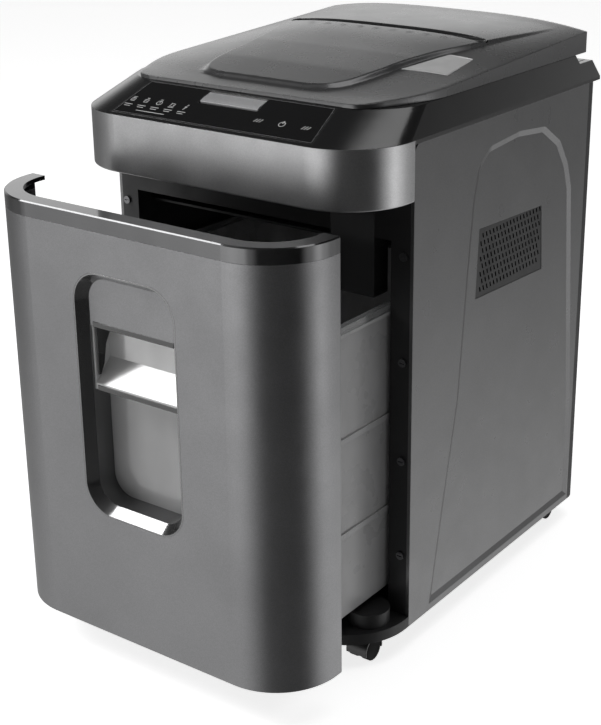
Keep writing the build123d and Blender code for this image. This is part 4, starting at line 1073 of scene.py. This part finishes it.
@dataclass
class Grip:
    """Dark pieces in the finger scoop of the drawer front, in millimetres: black cheek plates that are
    painted shade at the scoop's ends, a painted shadow strip under the grip plate and a dark strip along the
    scoop's front lip.

    Args:
        thickness: thickness of the cheek plates of painted shade.
        lip: height of the strip along the scoop's front lip, and of the painted shadow strip under the grip
            plate.
        proud: how far the strip stands in front of the lip.
        depth: front to back size of the strip.
        cheek_inset: distance of a cheek plate of painted shade from the scoop's end.
        strip_inset: distance of a strip's end from the end of its piece.
        cheek: outline of a cheek plate of painted shade, as shares of the scoop's depth and height.
    """

    thickness: float = 1.0
    lip: float = 4.5
    proud: float = 0.5
    depth: float = 1.2
    cheek_inset: float = 3.6
    strip_inset: float = 3.4
    cheek: Knots = ((0.08, 0.14), (0.22, 0.14), (0.45, 0.24), (0.6, 0.42), (0.86, 0.52), (0.9, 0.62),
                    (0.9, 0.96), (0.08, 0.96))

    def build(self) -> list[Piece]:
        """Model and dress the cheek plates of painted shade, the painted shadow strip and the lip strip.

        Returns:
            The pieces.
        """
        low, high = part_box("finger_scoop")
        edge_low, edge_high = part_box("grip_plate")
        # the grip plate's dark strip is painted shadow under its lower edge
        return [self._cheek_shade_plates(low, high), self._strip(low, high, "scoop_lip_strip"),
                self._strip(edge_low, edge_high, "grip_shadow_strip")]

    def _cheek_shade_plates(self, low: Vector, high: Vector) -> Piece:
        """Model the hooked black plates inside the scoop's ends, painted shade for the dark that the glossy
        ends reflect.

        Args:
            low: lowest corner of the scoop.
            high: highest corner of the scoop.

        Returns:
            The plates as one piece.
        """
        front, back, foot, top = low[1], high[1], low[2], high[2]
        plates = []
        for side in (-1, 1):
            x = side * (high[0] - self.cheek_inset * MM)
            Bench.clear()
            bpy.ops.mesh.primitive_circle_add(vertices=len(self.cheek), radius=1.0, fill_type="NGON")
            plate = bpy.context.object
            for vertex, (u, v) in zip(plate.data.vertices, self.cheek):
                vertex.co = (x, front + u * (back - front), foot + v * (top - foot))
            Bench.apply(plate, "SOLIDIFY", thickness=self.thickness * MM, offset=0.0)
            Bench.clean(plate)
            Bench.apply(plate, "BEVEL", width=0.25 * MM, segments=2)
            plates.append(plate)
        # the black cheek plates are painted shade at the scoop's ends
        return Bench.settle(Bench.join(plates), "scoop_cheek_painted_shade", Finishes.PIANO_BLACK, "drawer")

    def _strip(self, low: Vector, high: Vector, name: str) -> Piece:
        """Model a dark strip along the lower front edge of a piece; under the grip plate the strip is painted
        shadow.

        Args:
            low: lowest corner of the piece.
            high: highest corner of the piece.
            name: name of the strip.

        Returns:
            The strip.
        """
        front = low[1] - self.proud * MM
        x = high[0] - self.strip_inset * MM
        strip = Bench.cube((-x, front, low[2] - 0.4 * MM),
                           (x, front + self.depth * MM, low[2] + self.lip * MM), 0.3 * MM)
        return Bench.settle(strip, name, Finishes.PIANO_BLACK, "drawer")


@dataclass
class RatingPlate:
    """Blank rating plate on the rear cover, in millimetres.

    Args:
        middle: place across and height of its middle.
        size: width and height.
        thickness: thickness of the foil.
    """

    middle: Pair = (20.0, 300.0)
    size: Pair = (84.0, 52.0)
    thickness: float = 0.3

    def build(self) -> list[Piece]:
        """Model and dress the plate and its printed frame.

        Returns:
            The pieces.
        """
        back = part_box("rear_cover")[1][1] - 0.05 * MM
        (x, z), (width, height) = self.middle, self.size
        plate = Bench.cube(((x - width / 2) * MM, back, (z - height / 2) * MM),
                           ((x + width / 2) * MM, back + self.thickness * MM, (z + height / 2) * MM),
                           0.1 * MM)
        lines = [Marks.bar(0, 18 - 6 * k, 70 - 9 * (k % 3), 0.7) for k in range(6)]
        lines.append(Marks.ring(30, -17, 4.5, 0.6, 4))
        frame = Bench.join(lines)
        for vertex in frame.data.vertices:
            across, up, rise = vertex.co
            vertex.co = ((x - across) * MM, back + (self.thickness + rise * 0.6) * MM, (z + up) * MM)
        return [Bench.settle(plate, "rating_plate", Finishes.LATCH_PAINT, "chassis"),
                Bench.settle(frame, "rating_plate_lines", Finishes.MOULDED, "chassis")]


@dataclass
class Studio:
    """Floor, room, lights and camera.

    Args:
        eye: camera place, measured from the middle of the footprint.
        turn: how far the camera looks round to the left, in radians.
        dip: how far it looks down, in radians.
        lens: focal length in millimetres.
        shift: sideways and upward shift of the frame.
        rings: level of the room by bearing in degrees from the front towards the right, for each
            sine of elevation.
        floor_glow: how much whiter than lit the floor shows.
        room_level: overall brightness of the walls.
        softboxes: name, centre, width and height, and power in watts of each lamp.
        aim: the point that the lamps face.
    """

    eye: Triple = (0.84694, -1.138, 0.80064)
    turn: float = 0.6095
    dip: float = 0.3544
    lens: float = 74.05
    shift: Pair = (-0.074, -0.0544)
    rings: tuple[tuple[float, Knots], ...] = (
        (-0.55, ((-180, 0.2), (-100, 0.3), (-60, 0.5), (-20, 0.52), (4, 0.3), (20, 0.08), (84, 0.04),
                 (98, 0.3), (112, 0.7), (130, 0.75), (150, 0.72), (180, 0.2))),
        (-0.2, ((-180, 0.08), (-90, 0.08), (-62, 0.2), (-45, 0.7), (-36, 1.2), (-20, 1.4), (-4, 1.2),
                (6, 0.4), (20, 0.02), (78, 0.0), (94, 0.5), (110, 1.3), (120, 0.8), (134, 0.35),
                (150, 0.16), (180, 0.08))),
        (0.2, ((-180, 0.4), (-155, 0.6), (-130, 0.62), (-90, 0.2), (-20, 0.12), (10, 0.03), (66, 0.02),
               (100, 0.2), (180, 0.4))),
        (0.45, ((-180, 0.02), (-100, 0.03), (-60, 0.2), (0, 0.06), (66, 0.02), (180, 0.02))),
    )
    floor_glow: float = 0.8
    room_level: float = 1.75
    softboxes: tuple[tuple[str, Triple, Pair, float], ...] = (
        ("key softbox", (-1.7, -1.1, 1.9), (1.0, 1.0), 24.0),
        ("top softbox", (0.5, 0.4, 2.4), (1.4, 1.4), 12.0),
    )
    aim: Triple = (0.0, 0.0, 0.28)

    def build(self) -> None:
        """Make the whole studio."""
        self.floor()
        self.room()
        for softbox in self.softboxes:
            self.softbox(*softbox)
        self.camera()

    def floor(self) -> None:
        """Lay a plain pale floor that shows whiter than it is lit."""
        bpy.ops.mesh.primitive_plane_add(size=60.0, location=(0, 0, 0))
        floor = bpy.context.object
        floor.name = "studio_floor"
        floor.visible_glossy = False
        made = bpy.data.materials.new("pale floor")
        made.use_nodes = True
        tree = made.node_tree
        shader = tree.nodes["Principled BSDF"]
        shader.inputs["Base Color"].default_value = (0.9, 0.9, 0.9, 1.0)
        shader.inputs["Roughness"].default_value = 0.95
        shader.inputs["Emission Color"].default_value = (1.0, 1.0, 1.0, 1.0)
        path = tree.nodes.new("ShaderNodeLightPath")
        glow = tree.nodes.new("ShaderNodeMath")
        glow.operation = "MULTIPLY"
        glow.inputs[1].default_value = self.floor_glow
        tree.links.new(path.outputs["Is Camera Ray"], glow.inputs[0])
        tree.links.new(glow.outputs[0], shader.inputs["Emission Strength"])
        floor.data.materials.append(made)

    def _curve(self, tree: Tree, value: Socket,
               stops: list[Pair]) -> Socket:
        """Add a ramp with soft steps.

        Args:
            tree: node tree to add to.
            value: socket from 0 to 1.
            stops: place and level of each stop.

        Returns:
            The ramp's level.
        """
        ramp = tree.nodes.new("ShaderNodeValToRGB")
        ramp.color_ramp.interpolation = "EASE"
        knots = ramp.color_ramp.elements
        while len(knots) < len(stops):
            knots.new(0.5)
        for knot, (place, level) in zip(knots, stops):
            knot.position = place
            knot.color = (level, level, level, 1.0)
        tree.links.new(value, ramp.inputs["Fac"])
        return ramp.outputs["Color"]

    def room(self) -> None:
        """Surround the machine with soft walls, white where the camera looks straight at them."""
        world = bpy.data.worlds.new("studio")
        scene = bpy.context.scene
        scene.world = world
        scene.view_settings.view_transform = "Standard"
        world.use_nodes = True
        tree = world.node_tree
        link = tree.links.new
        split = tree.nodes.new("ShaderNodeSeparateXYZ")
        link(tree.nodes.new("ShaderNodeTexCoord").outputs["Generated"], split.inputs[0])
        steps = (("MULTIPLY", split.outputs["Y"], -1.0), ("ARCTAN2", split.outputs["X"], None),
                 ("MULTIPLY_ADD", None, 0.5 / math.pi))
        last = None
        for operation, source, factor in steps:
            node = tree.nodes.new("ShaderNodeMath")
            node.operation = operation
            if operation == "ARCTAN2":
                link(source, node.inputs[0])
                link(last, node.inputs[1])
            else:
                link(source or last, node.inputs[0])
                node.inputs[1].default_value = factor
                node.inputs[2].default_value = 0.5
            last = node.outputs[0]
        level = None
        before = 0.0
        for sine, ring in self.rings:
            wall = self._curve(tree, last, [((bearing + 180) / 360, value) for bearing, value in ring])
            if level is not None:
                step = tree.nodes.new("ShaderNodeMapRange")
                step.interpolation_type = "SMOOTHSTEP"
                step.inputs["From Min"].default_value = before
                step.inputs["From Max"].default_value = sine
                link(split.outputs["Z"], step.inputs["Value"])
                both = tree.nodes.new("ShaderNodeMix")
                both.data_type = "RGBA"
                link(step.outputs["Result"], both.inputs["Factor"])
                link(level, both.inputs["A"])
                link(wall, both.inputs["B"])
                wall = both.outputs["Result"]
            level, before = wall, sine
        back = tree.nodes["Background"]
        back.inputs["Strength"].default_value = self.room_level
        link(level, back.inputs["Color"])
        white = tree.nodes.new("ShaderNodeBackground")
        path = tree.nodes.new("ShaderNodeLightPath")
        pick = tree.nodes.new("ShaderNodeMixShader")
        link(path.outputs["Is Camera Ray"], pick.inputs[0])
        link(back.outputs[0], pick.inputs[1])
        link(white.outputs[0], pick.inputs[2])
        white.inputs["Color"].default_value = (1.0, 1.0, 1.0, 1.0)
        link(pick.outputs[0], tree.nodes["World Output"].inputs["Surface"])

    def softbox(self, name: str, place: Triple, size: Pair, power: float) -> None:
        """Hang a rectangular light that points at the machine.

        Args:
            name: name of the light.
            place: its centre.
            size: its width and height.
            power: its power in watts.
        """
        bpy.ops.object.light_add(type="AREA", location=place)
        lamp = bpy.context.object
        lamp.name = name
        lamp.data.shape = "RECTANGLE"
        lamp.data.size, lamp.data.size_y = size
        lamp.data.energy = power
        aim = Vector(self.aim) - Vector(place)
        lamp.rotation_euler = aim.to_track_quat("-Z", "Y").to_euler()

    def camera(self) -> None:
        """Set up the camera."""
        bpy.ops.object.camera_add(location=self.eye, rotation=(math.pi / 2 - self.dip, 0, self.turn))
        camera = bpy.context.object
        camera.name = "studio_camera"
        camera.data.lens = self.lens
        camera.data.sensor_width = 36.0
        camera.data.shift_x, camera.data.shift_y = self.shift
        bpy.context.scene.camera = camera


def main(frame: dict) -> None:
    """Build the visual model.

    Args:
        frame: the loaded CAD frame.
    """
    logging.basicConfig(level=logging.INFO, format="%(message)s")
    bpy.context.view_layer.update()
    Frame(frame["nodes"]).dress()
    for assembly in (Lid(), ControlPanel(), Grip(), RatingPlate()):
        for piece in assembly.build():
            LOG.info("built %s", piece.name)
    Studio().build()


if __name__ == "__main__":
    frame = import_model()
    main(frame)
